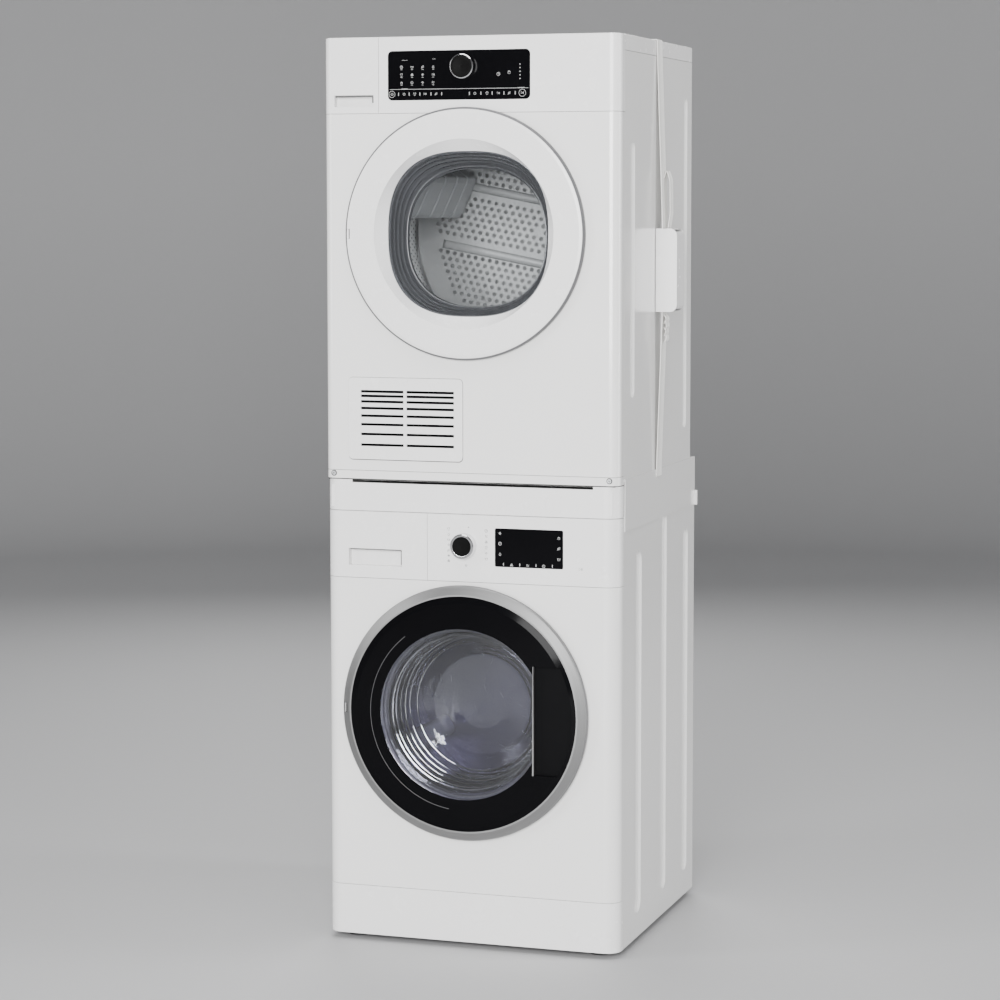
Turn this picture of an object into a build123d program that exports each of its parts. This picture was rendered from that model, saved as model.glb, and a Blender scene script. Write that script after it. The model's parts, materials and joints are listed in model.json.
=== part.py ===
"""Washer dryer stack: a front-loading washing machine, a stacking kit with a pull-out shelf
and a ratchet strap, and a tumble dryer on top.

Millimetres. X is the width with +X on the user's right, -Y is the front, +Z is up.
The origin is on the floor, at the centre of the washer's four feet.
"""

import math
import os

from build123d import *

# ---------------------------------------------------------------- driving dimensions
HALF = 297.5  # half of the cabinet width
FRONT = -286.0  # front plane of both machines
WASHER_BACK = 286.0
DRYER_BACK = 249.0
SHEET = 1.2  # cabinet sheet metal
SEAM = 0.8  # visible gap between neighbouring covers
SIDE_START = -249.2  # the cabinet sides begin here, behind the wrapped front covers
RETURN_Y = SIDE_START - SEAM

BODY_BOTTOM = 12.0  # underside of the washer, above the floor
PLINTH_TOP = 110.0
PANEL_BOTTOM = 719.0  # lower edge of the washer's control panel
WASHER_TOP = 849.0
SKIRT_BOTTOM = 822.0  # the kit's side skirts hang over the washer
SKIRT_TOP = 922.0  # and stand up beside the dryer
BAND_BOTTOM = 850.2
BAND_TOP = 910.4
NOTCH_Z = 904.8  # finger notch along the shelf's front band
DECK = 905.0  # the dryer stands here
STRIP_BOTTOM = 912.4
STRIP_TOP = 929.0
FASCIA_BOTTOM = 1617.0
RIM_BOTTOM = 1732.0
DRYER_TOP = 1762.0

WASHER_CORNER = 30.0  # rounding of the front corners, seen from above
DRYER_CORNER = 20.0

AXIS_X = -8.5  # doors and drums sit a little left of centre
WASHER_Z = 464.0  # axis of the washer's drum and door
DRYER_Z = 1386.6
WASHER_DOOR_R = 248.0
DRYER_DOOR_R = 240.0
WASHER_PIVOT = (AXIS_X - WASHER_DOOR_R + 3.5, FRONT - 10.5)
DRYER_PIVOT = (AXIS_X - DRYER_DOOR_R + 3.5, FRONT - 8.0)
PIN_R = 2.0
RUNNING_FIT = 0.05

PORTHOLE_R = 172.0
TUB_R = 262.0
WASHER_DRUM_R = 246.0
SHAFT_R = 15.0
DRYER_HOLE_R = 195.0
DRYER_DRUM_R = 270.0

DRAWER_RIGHT = -87.0  # right edge of the detergent drawer's front
TANK_RIGHT = -183.6  # right edge of the dryer's water tank front
KNOB_X = -11.0
WASHER_KNOB_Z = 788.7
DRYER_KNOB_Z = 1704.0
STRAP_Y = -9.0
STRAP_WIDTH = 36.0
STRAP_THICK = 1.6

os.makedirs("parts", exist_ok=True)


def save(piece, name):
    """Label a finished piece and write its STEP file."""
    piece.part.label = name
    export_step(piece.part, f"parts/{name}.step")


def facing_front(y):
    """Sketch plane at depth y with local x = X and local y = Z. Its normal points to the user."""
    return Plane.XZ.offset(-y)


def block(x0, x1, y0, y1, z0, z1, mode=Mode.ADD):
    """A box between two corners, in the part that is being built."""
    with Locations(((x0 + x1) / 2, (y0 + y1) / 2, (z0 + z1) / 2)):
        Box(x1 - x0, y1 - y0, z1 - z0, mode=mode)


def rod_y(radius, y0, y1, x, z, mode=Mode.ADD):
    """A cylinder along Y between two depths."""
    with Locations(Location((x, (y0 + y1) / 2, z), (90, 0, 0))):
        Cylinder(radius, y1 - y0, mode=mode)


def rod_z(radius, z0, z1, x, y, mode=Mode.ADD):
    """An upright cylinder."""
    with Locations((x, y, (z0 + z1) / 2)):
        Cylinder(radius, z1 - z0, mode=mode)


def spin(points, x, z, mode=Mode.ADD):
    """Revolve a profile of (radius, depth) points about the Y-parallel axis through x, z."""
    with BuildSketch(Plane.XY.offset(z)) as profile:
        with BuildLine():
            Polyline(*[(x + r, y) for r, y in points], close=True)
        make_face()
    revolve(profile.sketch, axis=Axis((x, 0, z), (0, 1, 0)), mode=mode)


def proud(points):
    """Turn (radius, distance in front of the front plane) into (radius, depth)."""
    return [(r, FRONT - p) for r, p in points]


def wrap(corner, z0, z1, thick=SHEET, left=None):
    """A front cover seen from above as a U with rounded corners, standing from z0 to z1.

    With left given, the cover steps back there to leave room for a drawer front."""
    x = HALF - thick / 2
    y = FRONT + thick / 2
    bend = corner - thick / 2
    with BuildSketch(Plane.XY.offset(z0)) as plan:
        with BuildLine():
            if left is None:
                FilletPolyline((-x, RETURN_Y), (-x, y), (x, y), (x, RETURN_Y), radius=bend)
            else:
                edge = left + thick / 2
                Polyline((-x, RETURN_Y), (-x, y + corner + 3), (edge, y + corner + 3), (edge, y))
                FilletPolyline((edge, y), (x, y), (x, RETURN_Y), radius=bend)
        trace(line_width=thick)
    extrude(plan.sketch, amount=z1 - z0)


def rounded_slot(x0, x1, z0, z1, radius, y0, y1, mode=Mode.SUBTRACT):
    """A rectangle with rounded corners, facing the user, between two depths."""
    with BuildSketch(facing_front(y1)) as outline:
        with Locations(((x0 + x1) / 2, (z0 + z1) / 2)):
            RectangleRounded(x1 - x0, z1 - z0, radius)
    extrude(outline.sketch, amount=y1 - y0, mode=mode)


def superellipse(half_x, half_z, power, steps=32):
    """Points of a rounded square, for a closed spline."""
    points = []
    for i in range(steps):
        angle = 2 * math.pi * i / steps
        c = math.cos(angle)
        s = math.sin(angle)
        x = half_x * math.copysign(abs(c) ** (2 / power), c)
        z = half_z * math.copysign(abs(s) ** (2 / power), s)
        points.append((AXIS_X + x, DRYER_Z + z))
    return points


# ---------------------------------------------------------------- cabinets
CHANNEL = 5.0  # depth of the channels pressed into the sides
WASHER_CHANNELS = ((-145.5, 48, 774, 60), (47, 38, 829, 63), (216, 38, 779, 63))
DRYER_CHANNELS = ((-194.5, 30, 1562, 1074), (200.5, 28, 1658, 988))


def cabinet(back, z0, z1, channels):
    """One-piece mantle: two sides with pressed channels, and the rear panel."""
    inward = Plane(origin=(HALF, 0, 0), x_dir=(0, 0, 1), z_dir=(-1, 0, 0))
    with BuildPart() as mantle:
        block(HALF - SHEET, HALF, SIDE_START, back, z0, z1)
        for wall, mode in ((SHEET, Mode.ADD), (0, Mode.SUBTRACT)):
            with BuildSketch(inward) as slots:
                for y, width, top, bottom in channels:
                    with Locations(((top + bottom) / 2, y)):
                        SlotOverall(top - bottom + 2 * wall, width + 2 * wall)
            extrude(amount=CHANNEL + wall, taper=30, mode=mode)
        mirror(about=Plane.YZ)
        block(-HALF, HALF, back - SHEET, back, z0, z1)
    return mantle


INLET = (-215.0, 790.0)  # water inlet thread on the rear panel, X and Z
DRAIN = (-240.0, 690.0)
with BuildPart() as washer_cabinet:
    add(cabinet(WASHER_BACK, BODY_BOTTOM, WASHER_TOP - 5, WASHER_CHANNELS).part)
    # pressed round service cover with a raised rim
    rod_y(160, WASHER_BACK, WASHER_BACK + 4, AXIS_X, WASHER_Z)
    rod_y(150, WASHER_BACK + 2, WASHER_BACK + 4, AXIS_X, WASHER_Z, Mode.SUBTRACT)
    # inlet thread, drain spigot and cable gland
    rod_y(13, WASHER_BACK, WASHER_BACK + 18, *INLET)
    rod_y(9, WASHER_BACK + 15, WASHER_BACK + 18, *INLET, Mode.SUBTRACT)
    rod_y(11, WASHER_BACK, WASHER_BACK + 16, *DRAIN)
    rod_y(8, WASHER_BACK + 13, WASHER_BACK + 16, *DRAIN, Mode.SUBTRACT)
    rod_y(9, WASHER_BACK, WASHER_BACK + 12, 230, 780)
    rod_y(4, WASHER_BACK + 9, WASHER_BACK + 12, 230, 780, Mode.SUBTRACT)
save(washer_cabinet, "washer_cabinet")

with BuildPart() as dryer_cabinet:
    add(cabinet(DRYER_BACK, DECK + 12, RIM_BOTTOM - SEAM, DRYER_CHANNELS).part)
    # pressed cover over the air duct
    rod_y(225, DRYER_BACK, DRYER_BACK + 12, AXIS_X, DRYER_Z)
    rod_y(223.5, DRYER_BACK - 2, DRYER_BACK + 10.5, AXIS_X, DRYER_Z, Mode.SUBTRACT)
    rod_y(9, DRYER_BACK, DRYER_BACK + 12, 230, 1020)
    rod_y(4, DRYER_BACK + 9, DRYER_BACK + 12, 230, 1020, Mode.SUBTRACT)
save(dryer_cabinet, "dryer_cabinet")

# ---------------------------------------------------------------- washer base and covers
FOOT_X = 250.0
FOOT_Y = 235.0
with BuildPart() as washer_base:
    block(-294, 294, RETURN_Y + 4, WASHER_BACK - 4, BODY_BOTTOM, 52)
    block(-290, 290, RETURN_Y + 8, WASHER_BACK - 8, BODY_BOTTOM + 4, 52, Mode.SUBTRACT)
    for x, y in ((-FOOT_X, -FOOT_Y), (FOOT_X, -FOOT_Y), (-FOOT_X, FOOT_Y), (FOOT_X, FOOT_Y)):
        rod_z(14, BODY_BOTTOM, 34, x, y)
        rod_z(5.3, BODY_BOTTOM - 1, 36, x, y, Mode.SUBTRACT)
save(washer_base, "washer_base")

with BuildPart() as washer_feet:
    for x, y in ((-FOOT_X, -FOOT_Y), (FOOT_X, -FOOT_Y), (-FOOT_X, FOOT_Y), (FOOT_X, FOOT_Y)):
        rod_z(21, 0, 7, x, y)
        rod_z(10, 7, 11.5, x, y)
        rod_z(5, 7, 42, x, y)
    rims = washer_feet.edges().filter_by(GeomType.CIRCLE).group_by(SortBy.RADIUS)[-1]
    chamfer(rims.group_by(Axis.Z)[-1], 1.5)
save(washer_feet, "washer_feet")


def front_lip(corner, z0, z1):
    """The part of a top panel that reaches forward between the wrapped front covers."""
    inset = 2.8
    x = HALF - inset
    y = FRONT + inset
    back = SIDE_START + 4
    with BuildSketch(Plane.XY.offset(z0)) as lip:
        with BuildLine():
            FilletPolyline((-x, back), (-x, y), (x, y), (x, back), radius=corner - inset)
            Line((x, back), (-x, back))
        make_face()
    extrude(lip.sketch, amount=z1 - z0)


with BuildPart() as washer_top_panel:
    block(-HALF + 2.8, HALF - 2.8, SIDE_START + 2, WASHER_BACK, WASHER_TOP - 4.8, WASHER_TOP)
    front_lip(WASHER_CORNER, WASHER_TOP - 4.8, WASHER_TOP)
save(washer_top_panel, "washer_top_panel")

LOCK_X = 212.0
with BuildPart() as washer_front_panel:
    wrap(WASHER_CORNER, PLINTH_TOP, PANEL_BOTTOM - SEAM)
    rod_y(PORTHOLE_R + 8, FRONT - 5, FRONT + 20, AXIS_X, WASHER_Z, Mode.SUBTRACT)
    # flange turned inwards round the porthole, where the gasket clamps
    spin(
        proud([(181, 0), (180, 0), (180, -10.8), (172, -10.8), (172, -12), (181, -12)]),
        AXIS_X,
        WASHER_Z,
    )
    block(LOCK_X - 8, LOCK_X + 8, FRONT - 5, FRONT + 5, WASHER_Z - 20, WASHER_Z + 20, Mode.SUBTRACT)
save(washer_front_panel, "washer_front_panel")

with BuildPart() as washer_plinth:
    wrap(WASHER_CORNER, BODY_BOTTOM, PLINTH_TOP - SEAM, 2.0)
save(washer_plinth, "washer_plinth")

# ---------------------------------------------------------------- washer controls
DISPLAY = (51.0, 188.0, 750.5, 825.0)  # X and Z limits of the display pane
with BuildPart() as washer_control_panel:
    wrap(WASHER_CORNER, PANEL_BOTTOM, WASHER_TOP - 0.4, 2.0, left=DRAWER_RIGHT + SEAM)
    block(-290, -94, FRONT + 18, FRONT + 40, 724, 850, Mode.SUBTRACT)
    # the recessed part ends under the top panel
    block(-HALF + 2, DRAWER_RIGHT + 4, FRONT + 2.4, FRONT + 40, WASHER_TOP - 5.2, WASHER_TOP, Mode.SUBTRACT)
    rounded_slot(*DISPLAY, 3, FRONT - 2, FRONT + 5)
    rod_y(6.4, FRONT - 2, FRONT + 5, KNOB_X, WASHER_KNOB_Z, Mode.SUBTRACT)
save(washer_control_panel, "washer_control_panel")

with BuildPart() as washer_display:
    rounded_slot(
        DISPLAY[0] + 0.3,
        DISPLAY[1] - 0.3,
        DISPLAY[2] + 0.3,
        DISPLAY[3] - 0.3,
        2.7,
        FRONT - 0.5,
        FRONT + 2,
        Mode.ADD,
    )
    block(DISPLAY[0] - 3, DISPLAY[1] + 3, FRONT + 2, FRONT + 20, DISPLAY[2] - 3, DISPLAY[3] + 3)
save(washer_display, "washer_display")


def knob(name, z, radius, height):
    """A programme selector: a grip on a spindle that passes through the control panel."""
    grip = [
        (0, height - 0.6),
        (radius - 8, height),
        (radius - 3, height),
        (radius - 1.2, height - 1.4),
        (radius, 1.0),
        (6, 1.0),
        (6, -14),
        (0, -14),
    ]
    with BuildPart() as piece:
        spin(proud(grip), KNOB_X, z)
    save(piece, name)


knob("washer_knob", WASHER_KNOB_Z, 25.0, 17)
knob("dryer_knob", DRYER_KNOB_Z, 24.5, 14)


def corner_front(corner, x1, z0, z1, grip, thick=2.5):
    """A drawer front that follows the cabinet's left corner and has a finger pocket.

    grip holds the pocket's X and Z limits."""
    gx0, gx1, gz0, gz1 = grip
    with BuildPart() as piece:
        with BuildSketch(Plane.XY.offset(z0)) as plan:
            with BuildLine():
                FilletPolyline(
                    (-HALF + thick / 2, FRONT + corner + 1.5),
                    (-HALF + thick / 2, FRONT + thick / 2),
                    (x1, FRONT + thick / 2),
                    radius=corner - thick / 2,
                )
            trace(line_width=thick)
        extrude(amount=z1 - z0)
        block(gx0 - 4, gx1 + 4, FRONT + 1, FRONT + 18, gz0 - 4, gz1 + 4)
        # the pocket runs deeper behind its upper lip
        block(gx0, gx1, FRONT - 1, FRONT + 15, gz0, gz1, Mode.SUBTRACT)
        block(gx0, gx1, FRONT + 3, FRONT + 15, gz1 - 1, gz1 + 2, Mode.SUBTRACT)
    return piece


# ---------------------------------------------------------------- detergent drawer
DRAWER_GRIP = (-249.0, -139.0, 743.0, 776.0)
drawer_front = corner_front(
    WASHER_CORNER, DRAWER_RIGHT, PANEL_BOTTOM, WASHER_TOP - 0.4, DRAWER_GRIP
)
save(drawer_front, "drawer_front")

with BuildPart() as drawer_tray:
    block(-280, -104, FRONT + 18.2, -60, 734, 802)
    for x0, x1 in ((-277.5, -222), (-219.5, -164.5), (-162, -106.5)):
        block(x0, x1, FRONT + 21, -62.5, 737, 803, Mode.SUBTRACT)
save(drawer_tray, "drawer_tray")

with BuildPart() as dispenser_housing:
    block(-286, -98, FRONT + 22, -40, 727, 840)
    block(-283, -101, FRONT + 21, -44, 731, 837, Mode.SUBTRACT)
    # hoses from the rear inlet and down to the tub
    rod_y(9, -40, WASHER_BACK - SHEET, INLET[0], INLET[1])
    rod_z(14, 652, 727, -150, -70)
    rod_y(TUB_R, -100, -45, AXIS_X, WASHER_Z, Mode.SUBTRACT)
save(dispenser_housing, "dispenser_housing")

# ---------------------------------------------------------------- washer door
HANDLE_X = 136.0  # straight edge of the grip recess
with BuildPart() as washer_door_ring:
    silver = [(248, 6), (248, 12.5), (246.5, 14.5), (232, 22.5), (229, 22.5), (229, 5), (247, 5)]
    spin(proud(silver), AXIS_X, WASHER_Z)
    px, py = WASHER_PIVOT
    block(px - 8, px + 6.5, py - 9, FRONT, WASHER_Z - 9.6, WASHER_Z + 9.6, Mode.SUBTRACT)
    rod_z(PIN_R + RUNNING_FIT, WASHER_Z - 22, WASHER_Z + 22, px, py, Mode.SUBTRACT)
save(washer_door_ring, "washer_door_ring")


def grip_outline(grow, start):
    """The D-shaped grip recess of the washer door, start mm in front of the front plane."""
    with BuildSketch(facing_front(FRONT - start)) as outline:
        with Locations((AXIS_X, WASHER_Z)):
            Circle(221 + grow)
        x_mid = (HANDLE_X - grow + 260) / 2
        with Locations((x_mid, WASHER_Z - 4.5)):
            Rectangle(260 - HANDLE_X + grow, 211 + 2 * grow, mode=Mode.INTERSECT)
    return outline.sketch


with BuildPart() as washer_door_cover:
    glossy = [(228.7, 20), (228.7, 23), (216, 25.5), (166.5, 27), (166.5, 24), (216, 22.5), (226, 20)]
    spin(proud(glossy), AXIS_X, WASHER_Z)
    extrude(grip_outline(0, 10), amount=30, mode=Mode.SUBTRACT)
save(washer_door_cover, "washer_door_cover")

with BuildPart() as washer_door_window:
    clear = [(0, 29), (90, 28.6), (166.2, 27), (166.2, 24), (90, 25.6), (0, 26)]
    spin(proud(clear), AXIS_X, WASHER_Z)
    # the grip recess also takes a bite out of the pane's right edge
    extrude(grip_outline(0, 10), amount=30, mode=Mode.SUBTRACT)
save(washer_door_window, "washer_door_window")

with BuildPart() as washer_door_frame:
    inner = [
        (228.7, 5),
        (228.7, 19.4),
        (225.5, 19.4),
        (216, 21.8),
        (172, 23),
        (172, 12.2),
        (178, 12.2),
        (178, 5),
    ]
    spin(proud(inner), AXIS_X, WASHER_Z)
    # floor and wall of the grip recess
    extrude(grip_outline(3, 12.4), amount=7.2, mode=Mode.ADD)
    extrude(grip_outline(0, 14.6), amount=20, mode=Mode.SUBTRACT)
    # hook that the lock catches
    block(LOCK_X - 4, LOCK_X + 4, FRONT - 6, FRONT + 12, WASHER_Z - 8, WASHER_Z + 8)
    block(LOCK_X - 5, LOCK_X + 1, FRONT + 3, FRONT + 8, WASHER_Z - 9, WASHER_Z + 9, Mode.SUBTRACT)
save(washer_door_frame, "washer_door_frame")

with BuildPart() as washer_door_glass:
    bowl = [
        (178, 12),
        (178, 7),
        (158, 2),
        (154, -20),
        (145, -58),
        (128, -84),
        (100, -99),
        (50, -106),
        (0, -108),
        (0, -103),
        (48, -101),
        (97, -94),
        (124, -80),
        (140, -56),
        (149, -19),
        (153, 7),
        (160, 12),
    ]
    spin(proud(bowl), AXIS_X, WASHER_Z)
save(washer_door_glass, "washer_door_glass")


def hinge_bracket(name, pivot, z):
    """Leaf on the front panel, with an arm and a pin that the door's rim turns on."""
    x, y = pivot
    with BuildPart() as piece:
        block(x - 3, x + 24, FRONT - 1.5, FRONT, z - 9, z + 9)
        block(x - 2.6, x + 2.6, y, FRONT, z - 9, z + 9)
        rod_z(3.2, z - 9, z + 9, x, y)
        rod_z(PIN_R, z - 20, z + 20, x, y)
    save(piece, name)


hinge_bracket("washer_hinge", WASHER_PIVOT, WASHER_Z)
hinge_bracket("dryer_hinge", DRYER_PIVOT, DRYER_Z)

with BuildPart() as washer_door_lock:
    block(LOCK_X - 16, LOCK_X + 16, FRONT + SHEET, FRONT + 34, WASHER_Z - 32, WASHER_Z + 32)
    block(LOCK_X - 8, LOCK_X + 8, FRONT, FRONT + 24, WASHER_Z - 14, WASHER_Z + 14, Mode.SUBTRACT)
save(washer_door_lock, "washer_door_lock")

# ---------------------------------------------------------------- washer tub and drum
with BuildPart() as washer_gasket:
    bellows = [
        (165, -2),
        (172, -2),
        (172, -10.6),
        (171.6, -10.8),
        (171.6, -20),
        (182, -26),
        (196, -30),
        (196, -44),
        (190, -44),
        (190, -36),
        (178, -31),
        (165, -22),
    ]
    spin(proud(bellows), AXIS_X, WASHER_Z)
save(washer_gasket, "washer_gasket")

with BuildPart() as washer_tub:
    shell = [
        (185, -250),
        (190, -250),
        (190, -240),
        (TUB_R, -240),
        (TUB_R, 150),
        (45, 150),
        (45, 172),
        (SHAFT_R + RUNNING_FIT, 172),
        (SHAFT_R + RUNNING_FIT, 142),
        (40, 142),
        (40, 146),
        (TUB_R - 4, 146),
        (TUB_R - 4, -236),
        (185, -236),
    ]
    spin(shell, AXIS_X, WASHER_Z)
save(washer_tub, "washer_tub")

with BuildPart() as washer_drum:
    basket = [
        (176, -229),
        (WASHER_DRUM_R - 4, -224),
        (WASHER_DRUM_R, -219),
        (WASHER_DRUM_R, 128),
        (0, 128),
        (0, 126.6),
        (WASHER_DRUM_R - 1.4, 126.6),
        (WASHER_DRUM_R - 1.4, -218.5),
        (WASHER_DRUM_R - 4.6, -222.6),
        (176, -227.6),
    ]
    spin(basket, AXIS_X, WASHER_Z)
save(washer_drum, "washer_drum")


LIFTER_HEIGHT = 46.0
with BuildPart() as washer_lifters:
    # three ribs that lift the laundry as the drum turns
    reach = WASHER_DRUM_R - 3.4 - LIFTER_HEIGHT / 2
    for turn in (90, 210, 330):
        angle = math.radians(turn)
        where = (AXIS_X + reach * math.cos(angle), -40, WASHER_Z + reach * math.sin(angle))
        with Locations(Location(where, (0, -turn, 0))):
            Box(LIFTER_HEIGHT, 320, 44)
    fillet(washer_lifters.edges().filter_by(Axis.Y), 13)
save(washer_lifters, "washer_lifters")

with BuildPart() as washer_drum_shaft:
    rod_y(SHAFT_R, 128, 196, AXIS_X, WASHER_Z)
    for turn in (30, 150, 270):
        angle = math.radians(turn)
        where = (AXIS_X + 110 * math.cos(angle), 132.5, WASHER_Z + 110 * math.sin(angle))
        with Locations(Location(where, (0, -turn, 0))):
            Box(200, 9, 36)
save(washer_drum_shaft, "washer_drum_shaft")

PULLEY_Y = (180.0, 192.0)
MOTOR_AT = (AXIS_X + 30, 128.0)
PULLEY_R = 140.0
MOTOR_PULLEY_R = 14.0
with BuildPart() as washer_pulley:
    rod_y(PULLEY_R, *PULLEY_Y, AXIS_X, WASHER_Z)
    rod_y(SHAFT_R, PULLEY_Y[0], PULLEY_Y[1], AXIS_X, WASHER_Z, Mode.SUBTRACT)
    for turn in range(0, 360, 60):
        angle = math.radians(turn)
        window = (AXIS_X + 78 * math.cos(angle), WASHER_Z + 78 * math.sin(angle))
        rod_y(30, PULLEY_Y[0], PULLEY_Y[1], *window, Mode.SUBTRACT)
save(washer_pulley, "washer_pulley")

with BuildPart() as washer_motor:
    rod_y(62, 10, 150, *MOTOR_AT)
    rod_y(20, 150, 160, *MOTOR_AT)
    rod_y(7 + RUNNING_FIT, 100, 160, *MOTOR_AT, Mode.SUBTRACT)
    block(MOTOR_AT[0] - 70, MOTOR_AT[0] + 70, 20, 140, 182, 192)
    rod_y(TUB_R, 0, 160, AXIS_X, WASHER_Z, Mode.SUBTRACT)
save(washer_motor, "washer_motor")

with BuildPart() as washer_motor_pulley:
    rod_y(7, 102, 195, *MOTOR_AT)
    rod_y(MOTOR_PULLEY_R, *PULLEY_Y, *MOTOR_AT)
save(washer_motor_pulley, "washer_motor_pulley")


def belt(name, big, big_at, small, small_at, y0, y1, gap=0.35, thick=3.0):
    """A flat belt round two pulleys."""
    with BuildPart() as piece:
        for extra, mode in ((gap + thick, Mode.ADD), (gap, Mode.SUBTRACT)):
            with BuildSketch(facing_front(y1)):
                with Locations(big_at):
                    Circle(big + extra)
                with Locations(small_at):
                    Circle(small + extra)
                make_hull()
            extrude(amount=y1 - y0, mode=mode)
    save(piece, name)


belt("washer_belt", PULLEY_R, (AXIS_X, WASHER_Z), MOTOR_PULLEY_R, MOTOR_AT, 181, 191)

with BuildPart() as washer_counterweight:
    block(-60, 190, -170, 40, 640, 790)
    rod_y(TUB_R, -171, 41, AXIS_X, WASHER_Z, Mode.SUBTRACT)
save(washer_counterweight, "washer_counterweight")

with BuildPart() as washer_suspension:
    for x in (AXIS_X - 232, AXIS_X + 232):
        rod_z(4, 585, WASHER_TOP - 5, x, 60)
        rod_z(12, 640, 800, x, 60)
    for x in (AXIS_X - 170, AXIS_X + 170):
        rod_z(15, BODY_BOTTOM + 4, 170, x, -60)
        rod_z(8, 170, 264, x, -60)
    rod_y(TUB_R, -100, 100, AXIS_X, WASHER_Z, Mode.SUBTRACT)
save(washer_suspension, "washer_suspension")

with BuildPart() as drain_pump:
    rod_y(34, -240, -120, 190, 80)
    rod_y(28, -120, -80, 190, 80)
    rod_z(10, 114, 226, 150, -150)
    block(140, 160, -160, -140, 90, 116)
save(drain_pump, "drain_pump")

# ---------------------------------------------------------------- stacking kit
PLATE = 1.4
SKIRT_OUT = 299.8
with BuildPart() as kit_frame:
    kit_front = SIDE_START
    kit_back = 281.0
    block(-SKIRT_OUT, SKIRT_OUT, kit_front, kit_back, WASHER_TOP, WASHER_TOP + PLATE)
    block(-SKIRT_OUT, SKIRT_OUT, kit_front + 22, kit_back, DECK - PLATE, DECK)
    # rear wall, which stands up behind the dryer's feet as a stop
    block(-SKIRT_OUT, SKIRT_OUT, kit_back - PLATE, kit_back, WASHER_TOP, SKIRT_TOP)
    for side in (-1, 1):
        inner, outer = sorted((side * (SKIRT_OUT - PLATE), side * SKIRT_OUT))
        block(inner, outer, kit_front, kit_back, SKIRT_BOTTOM, SKIRT_TOP)
        inner, outer = sorted((side * 268, side * (268 + PLATE)))
        block(inner, outer, kit_front, kit_back, WASHER_TOP, DECK)
        # small ear at the rear, and the loop that the strap passes through
        inner, outer = sorted((side * SKIRT_OUT, side * (SKIRT_OUT + 6)))
        block(inner, outer, kit_back - 4, kit_back, SKIRT_BOTTOM, SKIRT_BOTTOM + 30)
    y0 = STRAP_Y - STRAP_WIDTH / 2 - 1.5
    y1 = STRAP_Y + STRAP_WIDTH / 2 + 1.5
    for side in (-1, 1):
        inner, outer = sorted((side * 290, side * 310))
        block(inner, outer, y0, y1, SKIRT_TOP - 7, SKIRT_TOP - 3.5, Mode.SUBTRACT)
save(kit_frame, "kit_frame")

with BuildPart() as kit_shelf:
    wrap(WASHER_CORNER, BAND_BOTTOM, BAND_TOP, 2.5)
    block(-241, 247, FRONT - 1, FRONT + 4, NOTCH_Z, BAND_TOP + 1, Mode.SUBTRACT)
    # board, runners and a sloping lip behind the finger notch
    block(-262, 262, FRONT + 2, 200, 872, 888)
    for side in (-1, 1):
        inner, outer = sorted((side * 262, side * 266))
        block(inner, outer, RETURN_Y + 6, 200, 876, 884)
    block(-262, 262, FRONT + 2, FRONT + 12, 888, 897)
    block(-285, 285, FRONT + 2, FRONT + 5, 856, 900)
save(kit_shelf, "kit_shelf")

RATCHET_Z = (1233.0, 1396.0)
STANDOFF = 311.0
STRAP_PATH = (
    (SKIRT_OUT + 1.2, 908.0),
    (SKIRT_OUT + 1.4, 930.0),
    (STANDOFF, RATCHET_Z[0] - 10),
    (STANDOFF, RATCHET_Z[1] + 8),
    (HALF + 2.2, DRYER_TOP - 32),
    (HALF + 1.3, DRYER_TOP + 1.3),
    (-HALF - 1.3, DRYER_TOP + 1.3),
    (-HALF - 2.2, DRYER_TOP - 32),
    (-SKIRT_OUT - 1.4, 930.0),
    (-SKIRT_OUT - 1.2, 908.0),
)
with BuildPart() as strap:
    with BuildSketch(facing_front(STRAP_Y + STRAP_WIDTH / 2)):
        with BuildLine():
            FilletPolyline(*STRAP_PATH, radius=2.5)
        trace(line_width=STRAP_THICK)
    extrude(amount=STRAP_WIDTH)
    # stitched bunch under the ratchet
    block(STANDOFF - 1, STANDOFF + 5, STRAP_Y - 13, STRAP_Y + 13, 1176, 1214)
save(strap, "strap")

with BuildPart() as ratchet:
    for y in (-24.0, 17.0):
        block(STANDOFF + 2, 334, y, y + 2, RATCHET_Z[0] + 14, RATCHET_Z[1] - 14)
    for z in (RATCHET_Z[0] + 30, RATCHET_Z[1] - 34):
        rod_y(7, -26, 21, 320, z)
    block(326, 329, -22, 17, RATCHET_Z[0] + 50, RATCHET_Z[1] - 44)
save(ratchet, "ratchet")

with BuildPart() as ratchet_cover:
    cover_y = (-29.0, 30.0)
    with BuildSketch(facing_front(cover_y[1])):
        with BuildLine():
            FilletPolyline(
                (HALF + 1.0, RATCHET_Z[0]),
                (341, RATCHET_Z[0]),
                (341, RATCHET_Z[1]),
                (HALF + 1.0, RATCHET_Z[1]),
                radius=14,
                close=False,
            )
            Line((HALF + 1.0, RATCHET_Z[1]), (HALF + 1.0, RATCHET_Z[0]))
        make_face()
    extrude(amount=cover_y[1] - cover_y[0])
    room_y = (cover_y[0] + 2, cover_y[1] - 2)
    block(HALF, 338.4, *room_y, RATCHET_Z[0] + 2.2, RATCHET_Z[1] - 2.2, Mode.SUBTRACT)
    # slots where the strap enters
    for z in (RATCHET_Z[0] - 1, RATCHET_Z[1] - 3):
        block(HALF, 316, STRAP_Y - 19, STRAP_Y + 19, z, z + 5, Mode.SUBTRACT)
save(ratchet_cover, "ratchet_cover")

# ---------------------------------------------------------------- dryer covers
with BuildPart() as dryer_base:
    block(-292, 292, SIDE_START + 3, DRYER_BACK - 4, DECK + 6.2, DECK + 55)
    block(-288, 288, SIDE_START + 7, DRYER_BACK - 8, DECK + 12, DECK + 55, Mode.SUBTRACT)
    for x in (-250, 250):
        for y in (-205, 205):
            rod_z(20, DECK, DECK + 6.2, x, y)
save(dryer_base, "dryer_base")

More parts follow.
